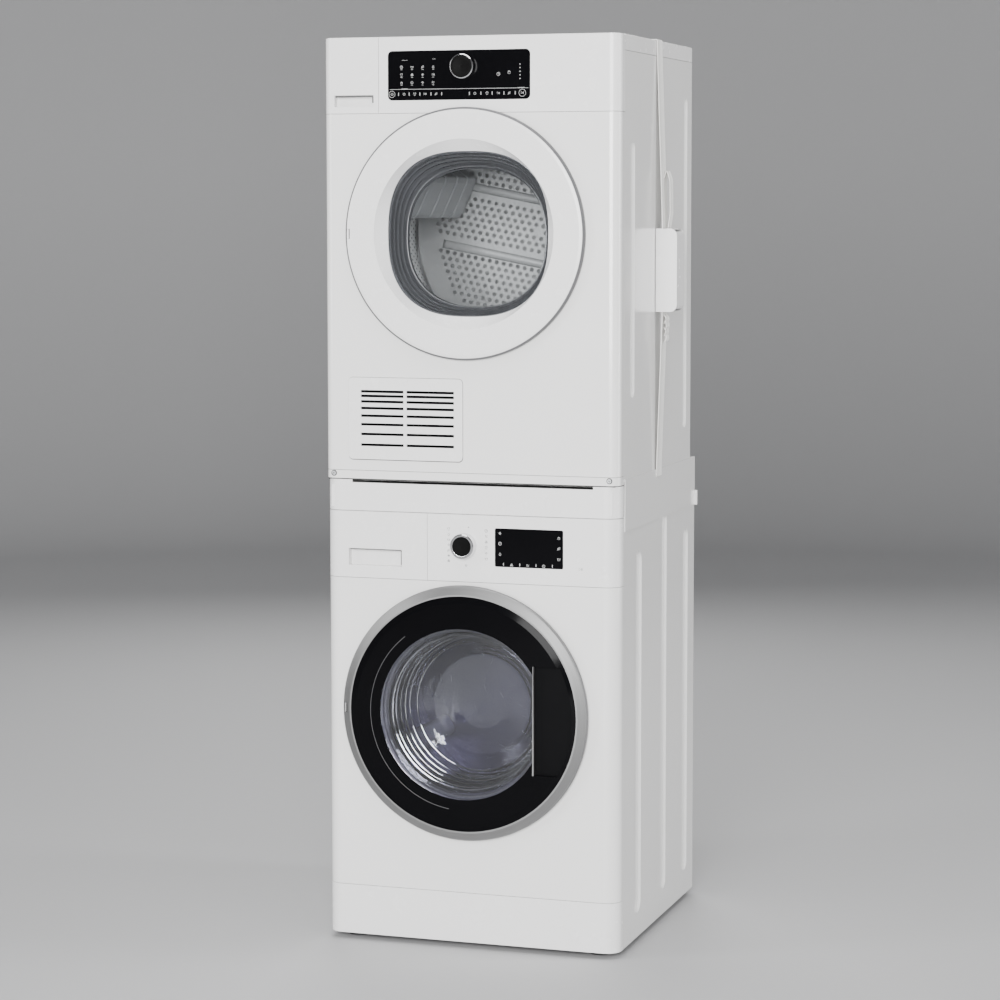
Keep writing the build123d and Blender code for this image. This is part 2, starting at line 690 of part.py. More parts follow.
with BuildPart() as dryer_base_strip:
    wrap(DRYER_CORNER, STRIP_BOTTOM, STRIP_TOP - SEAM, 2.0)
    for x in (-279, 279):
        rod_y(2.2, FRONT - 1, FRONT + 4, x, 922, Mode.SUBTRACT)
save(dryer_base_strip, "dryer_base_strip")

with BuildPart() as base_strip_screws:
    for x in (-279, 279):
        rod_y(4.2, FRONT - 1.6, FRONT, x, 922)
        rod_y(2.2, FRONT, FRONT + 12, x, 922)
        block(x - 3, x + 3, FRONT - 2, FRONT - 1.1, 921.5, 922.5, Mode.SUBTRACT)
save(base_strip_screws, "base_strip_screws")

FLAP = (-248.0, -13.0, 949.0, 1110.0)  # X and Z limits of the louvred flap
with BuildPart() as dryer_front_panel:
    wrap(DRYER_CORNER, STRIP_TOP, FASCIA_BOTTOM - SEAM)
    rod_y(DRYER_HOLE_R, FRONT - 5, FRONT + 20, AXIS_X, DRYER_Z, Mode.SUBTRACT)
    rounded_slot(*FLAP, 9, FRONT - 4, FRONT + 4)
    # collar that leads into the drum
    collar = [
        (200, 0),
        (DRYER_HOLE_R, 0),
        (DRYER_HOLE_R, -66),
        (215, -74),
        (217, -72),
        (197.5, -65),
        (197.5, -2),
        (200, -2),
    ]
    spin(proud(collar), AXIS_X, DRYER_Z)
    # mouth of the lint filter in the collar's floor
    block(AXIS_X - 85, AXIS_X + 85, FRONT + 28, FRONT + 52, DRYER_Z - 205, DRYER_Z - 150, Mode.SUBTRACT)
save(dryer_front_panel, "dryer_front_panel")

WINDOW = (-164.0, 122.0, 1641.0, 1735.0)  # X and Z limits of the dryer's control window
with BuildPart() as dryer_control_panel:
    wrap(DRYER_CORNER, FASCIA_BOTTOM, DRYER_TOP - 1, 2.0, left=TANK_RIGHT + SEAM)
    block(-290, -190, FRONT + 18, FRONT + 40, 1622, 1763, Mode.SUBTRACT)
    block(-HALF + 2, TANK_RIGHT + 4, FRONT + 2.4, FRONT + 40, DRYER_TOP - 3.4, DRYER_TOP, Mode.SUBTRACT)
    rounded_slot(*WINDOW, 9, FRONT - 2, FRONT + 4)
save(dryer_control_panel, "dryer_control_panel")

with BuildPart() as dryer_control_window:
    x0, x1, z0, z1 = WINDOW
    rounded_slot(x0 + 0.3, x1 - 0.3, z0 + 0.3, z1 - 0.3, 8.7, FRONT - 0.3, FRONT + 2, Mode.ADD)
    block(x0 - 3, x1 + 3, FRONT + 2, FRONT + 14, z0 - 3, z1 + 3)
    rod_y(6.4, FRONT - 2, FRONT + 20, KNOB_X, DRYER_KNOB_Z, Mode.SUBTRACT)
save(dryer_control_window, "dryer_control_window")

with BuildPart() as dryer_top_cover:
    block(-HALF, HALF, SIDE_START, DRYER_BACK, RIM_BOTTOM, DRYER_TOP)
    fillet(dryer_top_cover.edges().filter_by(Axis.Y).group_by(Axis.Z)[-1], 3)
    inside_y = (SIDE_START - 1, DRYER_BACK - 2.5)
    block(-HALF + 2.5, HALF - 2.5, *inside_y, RIM_BOTTOM - 1, DRYER_TOP - 3, Mode.SUBTRACT)
    front_lip(DRYER_CORNER, DRYER_TOP - 3, DRYER_TOP)
save(dryer_top_cover, "dryer_top_cover")

# ---------------------------------------------------------------- condensate tank
TANK_GRIP = (-274.0, -193.5, 1630.0, 1652.0)
tank_front = corner_front(DRYER_CORNER, TANK_RIGHT, FASCIA_BOTTOM, DRYER_TOP - 1, TANK_GRIP)
save(tank_front, "tank_front")

with BuildPart() as water_tank:
    block(-284, -196, FRONT + 18.2, 150, 1672, 1744)
    fillet(water_tank.edges().filter_by(Axis.Y), 6)
    block(-281, -199, FRONT + 21, 147, 1675, 1741, Mode.SUBTRACT)
    rod_z(9, 1741, 1746, -240, 110)
    rod_z(6, 1740, 1747, -240, 110, Mode.SUBTRACT)
save(water_tank, "water_tank")

# ---------------------------------------------------------------- dryer door
RIM_PROUD = 13.5  # how far the door stands in front of the panel
with BuildPart() as dryer_door_rim:
    body = [
        (0, RIM_PROUD),
        (231, RIM_PROUD),
        (236.5, RIM_PROUD - 1.2),
        (239.2, RIM_PROUD - 3.4),
        (240, RIM_PROUD - 6),
        (240, 5),
        (238.5, 4),
        (179.8, 4),
        (179.8, -16),
        (0, -16),
    ]
    spin(proud(body), AXIS_X, DRYER_Z)
    # the dish: from a circle at the front to a rounded square behind it
    with BuildSketch(facing_front(FRONT - RIM_PROUD - 0.01)):
        with Locations((AXIS_X, DRYER_Z)):
            Circle(181)
    with BuildSketch(facing_front(FRONT + 14)):
        with BuildLine():
            Spline(*superellipse(162, 158, 2.6), periodic=True)
        make_face()
    loft(mode=Mode.SUBTRACT)
    with BuildSketch(facing_front(FRONT + 17)):
        with BuildLine():
            Spline(*superellipse(162, 158, 2.6), periodic=True)
        make_face()
    extrude(amount=4, mode=Mode.SUBTRACT)
    # the rim is hollow behind, apart from its outer lip
    hollow = [(233, 1), (233, 7), (228, 10.5), (194, 10.5), (187, 1)]
    spin(proud(hollow), AXIS_X, DRYER_Z, Mode.SUBTRACT)
    px, py = DRYER_PIVOT
    block(px - 8, px + 6.5, py - 7, FRONT, DRYER_Z - 9.6, DRYER_Z + 9.6, Mode.SUBTRACT)
    rod_z(PIN_R + RUNNING_FIT, DRYER_Z - 22, DRYER_Z + 22, px, py, Mode.SUBTRACT)
save(dryer_door_rim, "dryer_door_rim")

with BuildPart() as dryer_door_glass:
    rod_y(179.8, FRONT + 16, FRONT + 20, AXIS_X, DRYER_Z)
save(dryer_door_glass, "dryer_door_glass")

with BuildPart() as dryer_door_frame:
    liner = [(186, -20), (186, -24), (178, -50), (166, -52), (166, -46), (172, -22), (178, -20)]
    spin(proud(liner), AXIS_X, DRYER_Z)
    # ring that closes the rim's hollow back
    spin(proud([(226, 2.6), (226, 4), (180, 4), (180, -20), (186, -20), (186, 2.6)]), AXIS_X, DRYER_Z)
save(dryer_door_frame, "dryer_door_frame")

# ---------------------------------------------------------------- dryer drum and drive
DRUM_Y = (FRONT + 82, 176.0)
RIB_CREST = 196.0  # distance of a rib's top from the axis
RIB_TOP = 38.0  # half widths of a rib at its top and at the drum's wall
RIB_FOOT = 62.0
with BuildPart() as dryer_drum:
    spin(
        [
            (222, DRUM_Y[0]),
            (DRYER_DRUM_R - 10, DRUM_Y[0]),
            (DRYER_DRUM_R, DRUM_Y[0] + 12),
            (DRYER_DRUM_R, DRUM_Y[1]),
            (DRYER_DRUM_R - 1.4, DRUM_Y[1]),
            (DRYER_DRUM_R - 1.4, DRUM_Y[0] + 12.6),
            (DRYER_DRUM_R - 10.6, DRUM_Y[0] + 1.4),
            (222, DRUM_Y[0] + 1.4),
        ],
        AXIS_X,
        DRYER_Z,
    )
    # three broad lifting ribs, hollow and open at the rear
    for turn in (32, 152, 272):
        for wall, start, mode in ((0, -200, Mode.ADD), (2.2, -197, Mode.SUBTRACT)):
            frame = Plane.XZ.offset(-start) * Location((AXIS_X, DRYER_Z, 0), (0, 0, turn))
            crest = RIB_CREST + wall
            foot = RIB_FOOT - wall
            top = RIB_TOP - wall
            with BuildSketch(frame):
                with BuildLine():
                    Polyline((crest, -top), (crest, top), (268, foot), (268, -foot), close=True)
                make_face()
            extrude(amount=start - 175, mode=mode)
    trim = [(DRYER_DRUM_R, -203), (300, -203), (300, 176), (DRYER_DRUM_R, 176)]
    spin(trim, AXIS_X, DRYER_Z, Mode.SUBTRACT)
save(dryer_drum, "dryer_drum")

with BuildPart() as dryer_rear_wall:
    rod_y(266, DRUM_Y[1] + 4, DRUM_Y[1] + 8, AXIS_X, DRYER_Z)
    # the air comes in through rings of holes
    for ring, count in ((60, 14), (82, 20), (104, 26), (126, 32), (148, 38), (170, 44), (192, 50)):
        with Locations(Location((AXIS_X, DRUM_Y[1] + 6, DRYER_Z), (90, 0, 0))):
            with PolarLocations(ring, count):
                Cylinder(5, 10, mode=Mode.SUBTRACT)
    rod_y(22, DRUM_Y[1] + 8, DRYER_BACK + 10.5, AXIS_X, DRYER_Z)
save(dryer_rear_wall, "dryer_rear_wall")

DRYER_MOTOR_AT = (180.0, 1010.0)
with BuildPart() as dryer_motor:
    rod_y(52, -60, 90, *DRYER_MOTOR_AT)
    rod_y(6 + RUNNING_FIT, -61, 0, *DRYER_MOTOR_AT, Mode.SUBTRACT)
    block(120, 240, -40, 70, DECK + 12, 962)
save(dryer_motor, "dryer_motor")

with BuildPart() as dryer_motor_pulley:
    rod_y(6, -100, -2, *DRYER_MOTOR_AT)
    rod_y(10, -96, -78, *DRYER_MOTOR_AT)
save(dryer_motor_pulley, "dryer_motor_pulley")

belt("dryer_belt", DRYER_DRUM_R, (AXIS_X, DRYER_Z), 10, DRYER_MOTOR_AT, -93, -81, 0.4, 2.0)

# ---------------------------------------------------------------- heat exchanger and lint filter
with BuildPart() as heat_exchanger:
    block(-238, -24, FRONT + 26, 60, 964, 1088)
    block(-234, -28, FRONT + 44, 61, 968, 1084, Mode.SUBTRACT)
    for x in range(-230, -30, 12):
        block(x, x + 7, FRONT + 24, FRONT + 40, 972, 1078, Mode.SUBTRACT)
save(heat_exchanger, "heat_exchanger")

LATCH_X = -131.0
with BuildPart() as heat_exchanger_flap:
    x0, x1, z0, z1 = FLAP
    rounded_slot(x0 + 0.7, x1 - 0.7, z0 + 1.6, z1 - 0.7, 8.5, FRONT - 1.4, FRONT + 1.2, Mode.ADD)
    # louvre slots, wider apart towards the bottom
    gap = 8.8
    z = 1085.0
    for row in range(8):
        for left, right in ((-222, LATCH_X - 3), (LATCH_X + 3, -31)):
            block(left, right, FRONT - 3, FRONT + 3, z - 5.2, z, Mode.SUBTRACT)
        z -= gap
        gap += 2.0
    # latch and the two hinge ears along the bottom edge
    block(LATCH_X - 6, LATCH_X + 6, FRONT - 2.4, FRONT + 6, z1 - 9, z1 - 0.7)
    for x in (-220, -41):
        block(x - 5, x + 5, FRONT + 1, FRONT + 7, z0 + 2, z0 + 10)
save(heat_exchanger_flap, "heat_exchanger_flap")

with BuildPart() as lint_filter:
    block(AXIS_X - 80, AXIS_X + 80, FRONT + 33, FRONT + 47, DRYER_Z - 262, DRYER_Z - 206)
    block(AXIS_X - 24, AXIS_X + 24, FRONT + 38, FRONT + 42, DRYER_Z - 206, DRYER_Z - 196)
save(lint_filter, "lint_filter")
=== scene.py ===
# %% [markdown]
# # A tumble dryer strapped on top of a washing machine
#
# The stack is two white boxes with round doors. Nearly everything that makes it look real
# is in small things: seams, rounded corners, the depth behind the glass, tiny printed signs.
# The CAD model already has every part in its true place, so this lesson leaves those meshes
# where they are, gives each one a finish, and adds the parts that CAD left plain.

# %% Load the frame
import json
import math

import bmesh
import bpy
from mathutils import Matrix, Vector


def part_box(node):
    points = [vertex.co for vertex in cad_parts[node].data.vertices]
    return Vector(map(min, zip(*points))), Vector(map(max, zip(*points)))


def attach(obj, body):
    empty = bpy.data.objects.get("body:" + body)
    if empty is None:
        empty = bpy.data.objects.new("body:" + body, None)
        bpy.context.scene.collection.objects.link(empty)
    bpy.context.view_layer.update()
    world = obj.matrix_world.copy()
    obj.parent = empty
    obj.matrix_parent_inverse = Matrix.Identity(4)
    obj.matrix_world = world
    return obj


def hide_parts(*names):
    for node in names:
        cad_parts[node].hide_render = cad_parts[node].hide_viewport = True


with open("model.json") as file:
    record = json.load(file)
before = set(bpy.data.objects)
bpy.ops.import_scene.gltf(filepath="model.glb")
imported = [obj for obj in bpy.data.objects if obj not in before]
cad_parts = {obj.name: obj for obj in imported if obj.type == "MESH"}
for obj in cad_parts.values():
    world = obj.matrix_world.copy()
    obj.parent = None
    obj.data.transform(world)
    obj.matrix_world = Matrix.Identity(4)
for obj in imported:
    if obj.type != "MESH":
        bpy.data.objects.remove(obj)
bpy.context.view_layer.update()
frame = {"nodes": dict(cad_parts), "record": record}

parts = frame["nodes"]

# %% [markdown]
# ## Writing finishes as sums
#
# A finish is a small calculation: take a place on the part, work out a mask, feed it to the
# shader. Dragging boxes would do it, but in a script it is easier to read `1 - mask * 0.5`.
# So one class wraps an output and turns Python's operators into Math nodes, and another
# holds the material that the nodes belong to.

# %% Wire: an output that can be calculated with
class Wire:
    """An output of a shader node. Arithmetic on it adds Math nodes."""

    def __init__(self, finish, socket):
        self.finish = finish
        self.socket = socket

    def maths(self, operation, first, second=None):
        return self.finish.node("ShaderNodeMath", {"operation": operation}, [first, second])

    def __add__(self, other):
        return self.maths("ADD", self, other)

    def __sub__(self, other):
        return self.maths("SUBTRACT", self, other)

    def __rsub__(self, other):
        return self.maths("SUBTRACT", other, self)

    def __mul__(self, other):
        return self.maths("MULTIPLY", self, other)

    def __truediv__(self, other):
        return self.maths("DIVIDE", self, other)

    def __pow__(self, other):
        return self.maths("POWER", self, other)

    def __gt__(self, other):
        return self.maths("GREATER_THAN", self, other)

    def __lt__(self, other):
        return self.maths("LESS_THAN", self, other)

    __radd__ = __add__
    __rmul__ = __mul__


# %% Finish: a material and the ways to build it
class Finish:
    """A material with its shader, and helpers that add nodes to it."""

    def __init__(self, name, colour, roughness, **fixed):
        self.material = bpy.data.materials.new(name)
        self.material.use_nodes = True
        self.tree = self.material.node_tree
        self.shader = self.tree.nodes["Principled BSDF"]
        self.colour = (*colour, 1)
        self.roughness = roughness
        self.set(**{"Base Color": self.colour, "Roughness": roughness})
        self.set(**fixed)

    def set(self, **sockets):
        """Feed sockets of the shader, with spaces written as underscores."""
        for name, value in sockets.items():
            self.feed(self.shader.inputs[name.replace("_", " ")], value)
        return self

    def feed(self, socket, value):
        if isinstance(value, Wire):
            self.tree.links.new(value.socket, socket)
        elif value is not None:
            socket.default_value = value

    def node(self, kind, settings=None, inputs=(), output=0):
        """Add any node: its settings first, then its sockets."""
        made = self.tree.nodes.new(kind)
        for name, value in (settings or {}).items():
            if name == "stops":
                for spot, (position, colour) in zip(made.color_ramp.elements, value):
                    spot.position = position
                    spot.color = (*colour, 1)
            else:
                setattr(made, name, value)
        listed = inputs.items() if isinstance(inputs, dict) else enumerate(inputs)
        for key, value in listed:
            self.feed(made.inputs[key], value)
        return Wire(self, made.outputs[output])

    def place(self):
        """Where a point of the surface is, in metres."""
        return self.node("ShaderNodeTexCoord", output="Object")

    def along(self, axis):
        """One coordinate of that place: X, Y or Z."""
        return self.node("ShaderNodeSeparateXYZ", inputs=[self.place()], output=axis)

    def noise(self, size, detail=2.0, stretch=(1, 1, 1)):
        """Random grain from 0 to 1, with grains about size metres wide."""
        scaled = self.node(
            "ShaderNodeVectorMath", {"operation": "MULTIPLY"}, [self.place(), stretch]
        )
        settings = {"Vector": scaled, "Scale": 1 / size, "Detail": detail}
        return self.node("ShaderNodeTexNoise", inputs=settings)

    def mix(self, share, first, second):
        """From the first colour to the second, by share."""
        colours = {"Factor": share, 6: first, 7: second}
        return self.node("ShaderNodeMix", {"data_type": "RGBA"}, colours, output=2)

    def bumps(self, height, depth, strength=1.0):
        """Relief: height from 0 to 1 stands depth metres proud."""
        sockets = {"Height": height, "Distance": depth, "Strength": strength}
        return self.set(Normal=self.node("ShaderNodeBump", inputs=sockets))


def shade(colour, factor):
    """The same colour, darker or lighter."""
    return tuple(min(1.0, part * factor) for part in colour)


print("Finish is ready")

# %% [markdown]
# ## White enamel and moulded plastic
#
# Both machines are white, but their whites differ. The sheet metal has a baked coat with a
# faint orange peel, and the plastic covers are a touch warmer with a finer surface. A slow
# noise moves the colour by a percent or two, and a fast one breaks up the reflections.

# %% Painted and moulded finishes
def coated(name, colour, roughness, grain=0.004, depth=0.00002, drift=0.03, **fixed):
    """A smooth coat or moulding with uneven gloss and fine relief."""
    finish = Finish(name, colour, roughness, **fixed)
    slow = finish.noise(0.22, detail=3)
    fine = finish.noise(grain, detail=1)
    dark = (*shade(colour, 1 - drift), 1)
    light = (*shade(colour, 1 + drift), 1)
    finish.set(Base_Color=finish.mix(slow, dark, light))
    finish.set(Roughness=finish.noise(0.03) * (roughness * 0.4) + roughness * 0.8)
    return finish.bumps(fine, depth)


enamel = coated("enamel", (0.80, 0.795, 0.785), 0.2, Coat_Weight=0.4, Coat_Roughness=0.08)
white_plastic = coated("white_plastic", (0.80, 0.795, 0.79), 0.26, grain=0.0016)
matt_white = coated("matt_white", (0.74, 0.74, 0.73), 0.5, grain=0.0009, depth=0.00004)
grey_plastic = coated("grey_plastic", (0.20, 0.205, 0.215), 0.48, grain=0.001, depth=0.00005)
black_plastic = coated("black_plastic", (0.004, 0.004, 0.0045), 0.42, grain=0.0008, depth=0.00005, drift=0.2)
black_plastic.set(Specular_IOR_Level=0.04)
edge_grey = coated("edge_grey", (0.11, 0.11, 0.115), 0.4, grain=0.001, depth=0.00004)
shadow_grey = coated("shadow_grey", (0.09, 0.09, 0.09), 0.55, grain=0.001, depth=0.00004)
black_gloss = coated("black_gloss", (0.0025, 0.0025, 0.003), 0.09, grain=0.006, depth=0.00001, drift=0.25)
black_gloss.set(Specular_IOR_Level=0.06)
lifter_grey = coated("lifter_grey", (0.42, 0.425, 0.43), 0.4, grain=0.0012, depth=0.00004)
print("painted finishes:", enamel.material.name, white_plastic.material.name)

# %% [markdown]
# ## Rubber, castings and other rough things
#
# Feet, belts, the motor's casing and the concrete weight hide inside, but they show at the
# back or when a panel is off. They need coarse grain more than colour.

# %% Rough finishes
def rough(name, colour, roughness, grain, depth, spots=0.35, **fixed):
    """A matt surface with pits or grains that are darker than the rest."""
    finish = Finish(name, colour, roughness, **fixed)
    grains = finish.noise(grain, detail=5)
    finish.set(Base_Color=finish.mix(grains, (*shade(colour, 1 - spots), 1), (*shade(colour, 1 + spots), 1)))
    finish.set(Roughness=grains * 0.25 + (roughness - 0.1))
    return finish.bumps(grains, depth)


rubber = rough("rubber", (0.10, 0.10, 0.105), 0.62, 0.0015, 0.0002, spots=0.15)
foot_rubber = rough("foot_rubber", (0.014, 0.014, 0.014), 0.6, 0.0012, 0.0002, spots=0.2)
iron = rough("iron", (0.10, 0.10, 0.105), 0.55, 0.003, 0.0004, Metallic=0.6)
concrete = rough("concrete", (0.33, 0.32, 0.30), 0.85, 0.006, 0.0009, spots=0.25)
motor_casing = rough("motor_casing", (0.45, 0.46, 0.47), 0.45, 0.002, 0.0002, spots=0.1, Metallic=0.9)
print("rough finishes:", rubber.material.name, concrete.material.name)

# %% [markdown]
# ## Metals
#
# The door ring is satin silver, brushed round its circle, so its fine lines follow the
# angle about the door's centre. Zinc-plated steel shows the large pale crystals that
# galvanising leaves, and the aluminium fins get the same crystals, only finer.

# %% Metals
def centre_of(part):
    """Middle of a CAD part, in metres."""
    low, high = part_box(part)
    return (low + high) / 2


def around(finish, centre):
    """Distance from a Y-parallel axis, and the angle about it from 0 to 1."""
    x = finish.along("X") - centre.x
    z = finish.along("Z") - centre.z
    radius = (x * x + z * z) ** 0.5
    angle = finish.node("ShaderNodeMath", {"operation": "ARCTAN2"}, [z, x]) / (2 * math.pi) + 0.5
    return radius, angle


def brushed_ring(name, part, colour, roughness):
    """Metal brushed round the middle of a part."""
    finish = Finish(name, colour, roughness, Metallic=1.0)
    radius, angle = around(finish, centre_of(part))
    lines = {"X": radius * 2600, "Y": angle * 14, "Z": finish.along("Y") * 900}
    spot = finish.node("ShaderNodeCombineXYZ", inputs=lines)
    streaks = finish.node("ShaderNodeTexNoise", inputs={"Vector": spot, "Scale": 1.0, "Detail": 3.0})
    finish.set(Base_Color=finish.mix(streaks, (*shade(colour, 0.8), 1), (*shade(colour, 1.15), 1)))
    finish.set(Roughness=streaks * 0.2 + (roughness - 0.1))
    return finish.bumps(streaks, 0.00003)


def spangled(name, colour, roughness, crystal=0.012):
    """Galvanised steel: flat crystals, each with its own shade."""
    finish = Finish(name, colour, roughness, Metallic=1.0)
    sockets = {"Vector": finish.place(), "Scale": 1 / crystal}
    cells = finish.node("ShaderNodeTexVoronoi", inputs=sockets, output="Color")
    tone = finish.node("ShaderNodeSeparateXYZ", inputs=[cells], output="X")
    finish.set(Base_Color=finish.mix(tone, (*shade(colour, 0.82), 1), (*shade(colour, 1.12), 1)))
    finish.set(Roughness=tone * 0.16 + (roughness - 0.08))
    return finish.bumps(finish.noise(0.002), 0.00003)


silver = brushed_ring("silver", "washer_door_ring", (0.31, 0.31, 0.31), 0.42)
zinc = spangled("zinc", (0.58, 0.59, 0.60), 0.38)
fins = spangled("fins", (0.72, 0.72, 0.72), 0.32, crystal=0.003)
print("metals:", silver.material.name, zinc.material.name, fins.material.name)

# %% [markdown]
# ## Drums
#
# A drum is thin steel with thousands of holes. Cutting them all would make a huge mesh for
# something seen through glass, so the holes are a mask: on the wall they sit on a grid of
# angle and depth, and the back plate is only brushed in rings. The mask darkens the colour
# as painted shade inside each hole, makes the hole dull, and sinks it with a little bump.

# %% Perforated steel
def perforated(name, part, colour, roughness, pitch, hole, wall_share):
    """Steel drum: rows of holes on the wall, fine circular brushing on the back."""
    finish = Finish(name, colour, roughness, Metallic=1.0)
    low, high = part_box(part)
    reach = (high.x - low.x) / 2
    radius, angle = around(finish, (low + high) / 2)
    count = round(2 * math.pi * reach / pitch)
    turn = angle * count
    depth = finish.along("Y") / (pitch * 0.866)
    row = finish.node("ShaderNodeMath", {"operation": "FLOOR"}, [depth])
    shifted = turn + finish.node("ShaderNodeMath", {"operation": "MODULO"}, [row, 2.0]) * 0.5
    u = finish.node("ShaderNodeMath", {"operation": "FRACT"}, [shifted]) - 0.5
    v = finish.node("ShaderNodeMath", {"operation": "FRACT"}, [depth]) - 0.5
    away = (u * u + v * v * 0.75) ** 0.5
    on_wall = radius > reach * wall_share
    holes = (away < hole / pitch) * on_wall
    streaks = {"X": radius * 500, "Y": angle * 20, "Z": finish.along("Y") * 160}
    spot = finish.node("ShaderNodeCombineXYZ", inputs=streaks)
    brush = finish.node("ShaderNodeTexNoise", inputs={"Vector": spot, "Scale": 1.0})
    steel = finish.mix(brush, (*shade(colour, 0.85), 1), (*shade(colour, 1.12), 1))
    # Painted shade: the hole mask darkens the steel to near black, for the unlit space inside each hole.
    finish.set(Base_Color=finish.mix(holes, steel, (0.09, 0.09, 0.1, 1)))
    finish.set(Roughness=brush * 0.12 + holes * 0.4 + (roughness - 0.06))
    finish.set(Metallic=0.88 - holes * 0.6)
    return finish.bumps(brush * 0.1 - holes, 0.0002)


# The washer drum's steel is dark and violet as painted shade of the drum's inside behind the door.
washer_steel_painted_shade = perforated("washer_steel_painted_shade", "washer_drum", (0.17, 0.16, 0.21), 0.3, 0.019, 0.0021, 0.97)
dryer_steel = perforated("dryer_steel", "dryer_drum", (0.66, 0.66, 0.66), 0.4, 0.013, 0.0022, 0.95)
plate_steel = coated("plate_steel", (0.50, 0.50, 0.49), 0.38, grain=0.0012, Metallic=0.35)
print("drum finishes:", washer_steel_painted_shade.material.name, dryer_steel.material.name)

# %% [markdown]
# ## Glass
#
# Both doors are clear. Real glass in a path tracer blocks the lamps and leaves the drum in
# the dark, so a pane is a mix: mostly open, and a polished reflection that grows as you look
# along the surface, as Fresnel's law says.

# %% Clear panes
def pane(name, tint, haze, centre, rings, depth):
    """See-through pane: a polished layer over an open one, with faint moulded rings."""
    finish = Finish(name, (0.95, 0.95, 0.97), 0.03, Metallic=1.0)
    radius, angle = around(finish, centre)
    wave = finish.node("ShaderNodeMath", {"operation": "SINE"}, [radius * (2 * math.pi / rings)])
    ripples = wave * 0.35 + finish.noise(0.014, detail=1) * 0.65
    finish.set(Roughness=ripples * 0.02 + 0.02)
    finish.bumps(ripples, depth)
    share = finish.node("ShaderNodeFresnel", inputs={"IOR": 1.5}) * 0.95 + haze
    through = finish.node("ShaderNodeBsdfTransparent", inputs=[(*tint, 1)])
    polish = Wire(finish, finish.shader.outputs[0])
    both = finish.node("ShaderNodeMixShader", inputs=[share, through, polish])
    finish.feed(finish.tree.nodes["Material Output"].inputs["Surface"], both)
    return finish


door_middle = centre_of("washer_door_ring")
clear = pane("clear", (0.95, 0.96, 0.97), 0.0, door_middle, 0.05, 0.0001)
bowl_glass = pane("bowl_glass", (0.80, 0.79, 0.86), 0.01, door_middle, 0.02, 0.0003)
bead_glass = pane("bead_glass", (0.80, 0.80, 0.88), 0.45, door_middle, 0.004, 0.0002)
print("glass:", clear.material.name, bowl_glass.material.name)

# %% [markdown]
# ## Knobs
#
# Each selector is one moulding with a black cap and a bright skirt. The finish follows the
# distance from the knob's own axis: black in the middle, chrome outside, and a thin line
# where they meet.

# %% Knob finish
def knob_finish(part, cap):
    """Black cap up to a radius of cap, chrome beyond it."""
    finish = Finish(part + "_finish", (0.7, 0.7, 0.71), 0.12)
    radius, angle = around(finish, centre_of(part))
    bright = radius > cap
    line = (radius > cap - 0.0035) * (radius < cap - 0.0025)
    speck = finish.noise(0.0009)
    black = finish.mix(speck, (0.002, 0.002, 0.002, 1), (0.005, 0.005, 0.005, 1))
    chrome = finish.mix(speck, (0.62, 0.62, 0.63, 1), (0.78, 0.78, 0.79, 1))
    finish.set(Base_Color=finish.mix(bright, black, chrome), Metallic=bright)
    finish.set(Roughness=speck * 0.08 + (1 - bright) * 0.18 + 0.08, Specular_IOR_Level=0.08)
    return finish.bumps(1 - line + bright * 0.2, 0.0002)


knobs = {
    "washer_knob": knob_finish("washer_knob", 0.0190),
    "dryer_knob": knob_finish("dryer_knob", 0.0215),
}
print("knobs:", list(knobs))

# %% [markdown]
# ## Woven webbing
#
# The strap is cream polyester webbing. A weave is two sets of waves at right angles, one
# over and one under. Multiplying two sine waves gives that checkered relief at the scale of
# the yarns, about a millimetre, without modelling a single thread.

# %% Webbing
def woven(name, colour, yarn):
    """Webbing whose yarns run round the stack and across the band."""
    finish = Finish(name, colour, 0.75, Sheen_Weight=0.3)
    run = (finish.along("Z") + finish.along("X")) * (math.pi / yarn)
    across = finish.along("Y") * (math.pi / yarn)
    warp = finish.node("ShaderNodeMath", {"operation": "SINE"}, [run])
    weft = finish.node("ShaderNodeMath", {"operation": "SINE"}, [across])
    weave = warp * weft * 0.5 + 0.5
    dirt = finish.noise(0.03, detail=4)
    tone = weave * 0.7 + dirt * 0.3
    finish.set(Base_Color=finish.mix(tone, (*shade(colour, 0.86), 1), (*shade(colour, 1.06), 1)))
    return finish.bumps(weave, 0.0004)


webbing = woven("webbing", (0.84, 0.83, 0.80), 0.0016)
print("webbing yarn: 1.6 mm")

# %% [markdown]
# ## Dress the CAD parts
#
# The record says which kind of material each part has. A table from those names to the
# finishes dresses all the parts at once, and a few parts then get a finish of their own.

# %% Give every part its finish
finishes = {
    "enamel": enamel,
    "white_plastic": white_plastic,
    "matt_white": matt_white,
    "black_gloss": black_gloss,
    "black_plastic": black_plastic,
    "silver": silver,
    "clear": clear,
    "bowl_glass": bowl_glass,
    "rubber": rubber,
    "foot_rubber": foot_rubber,
    "grey_plastic": grey_plastic,
    "zinc": zinc,
    "iron": iron,
    "lifter": lifter_grey,
    "motor_casing": motor_casing,
    "concrete": concrete,
    "webbing": webbing,
    "fins": fins,
}
own_finish = {
    **knobs,
    "washer_drum": washer_steel_painted_shade,
    "dryer_drum": dryer_steel,
    "dryer_rear_wall": plate_steel,
    "washer_hinge": silver,
    "dryer_hinge": white_plastic,
}


def dress(piece, finish):
    """Put one finish on a whole piece."""
    piece.data.materials.clear()
    piece.data.materials.append(finish.material)


for entry in frame["record"]["subparts"]:
    name = entry["node"]
    dress(parts[name], own_finish.get(name) or finishes[entry["material_slot"]])

# %% [markdown]
# ## Ways to make new pieces
#
# Round things are lathed from a profile about a Y-parallel axis, as a potter would. Flat
# signs are thin bent wires pressed half into the panel, made as curves. Everything else is a
# run of rings of points joined by faces, so two small helpers do the joining and the closing.
# All kinds are built in the stack's own coordinates, and ride on the body that carries them.

# %% Lathe and strokes
def finish_piece(piece, finish, body):
    """Link a new object, dress it and let it ride."""
    bpy.context.scene.collection.objects.link(piece)
    dress(piece, finish)
    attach(piece, body)
    return piece


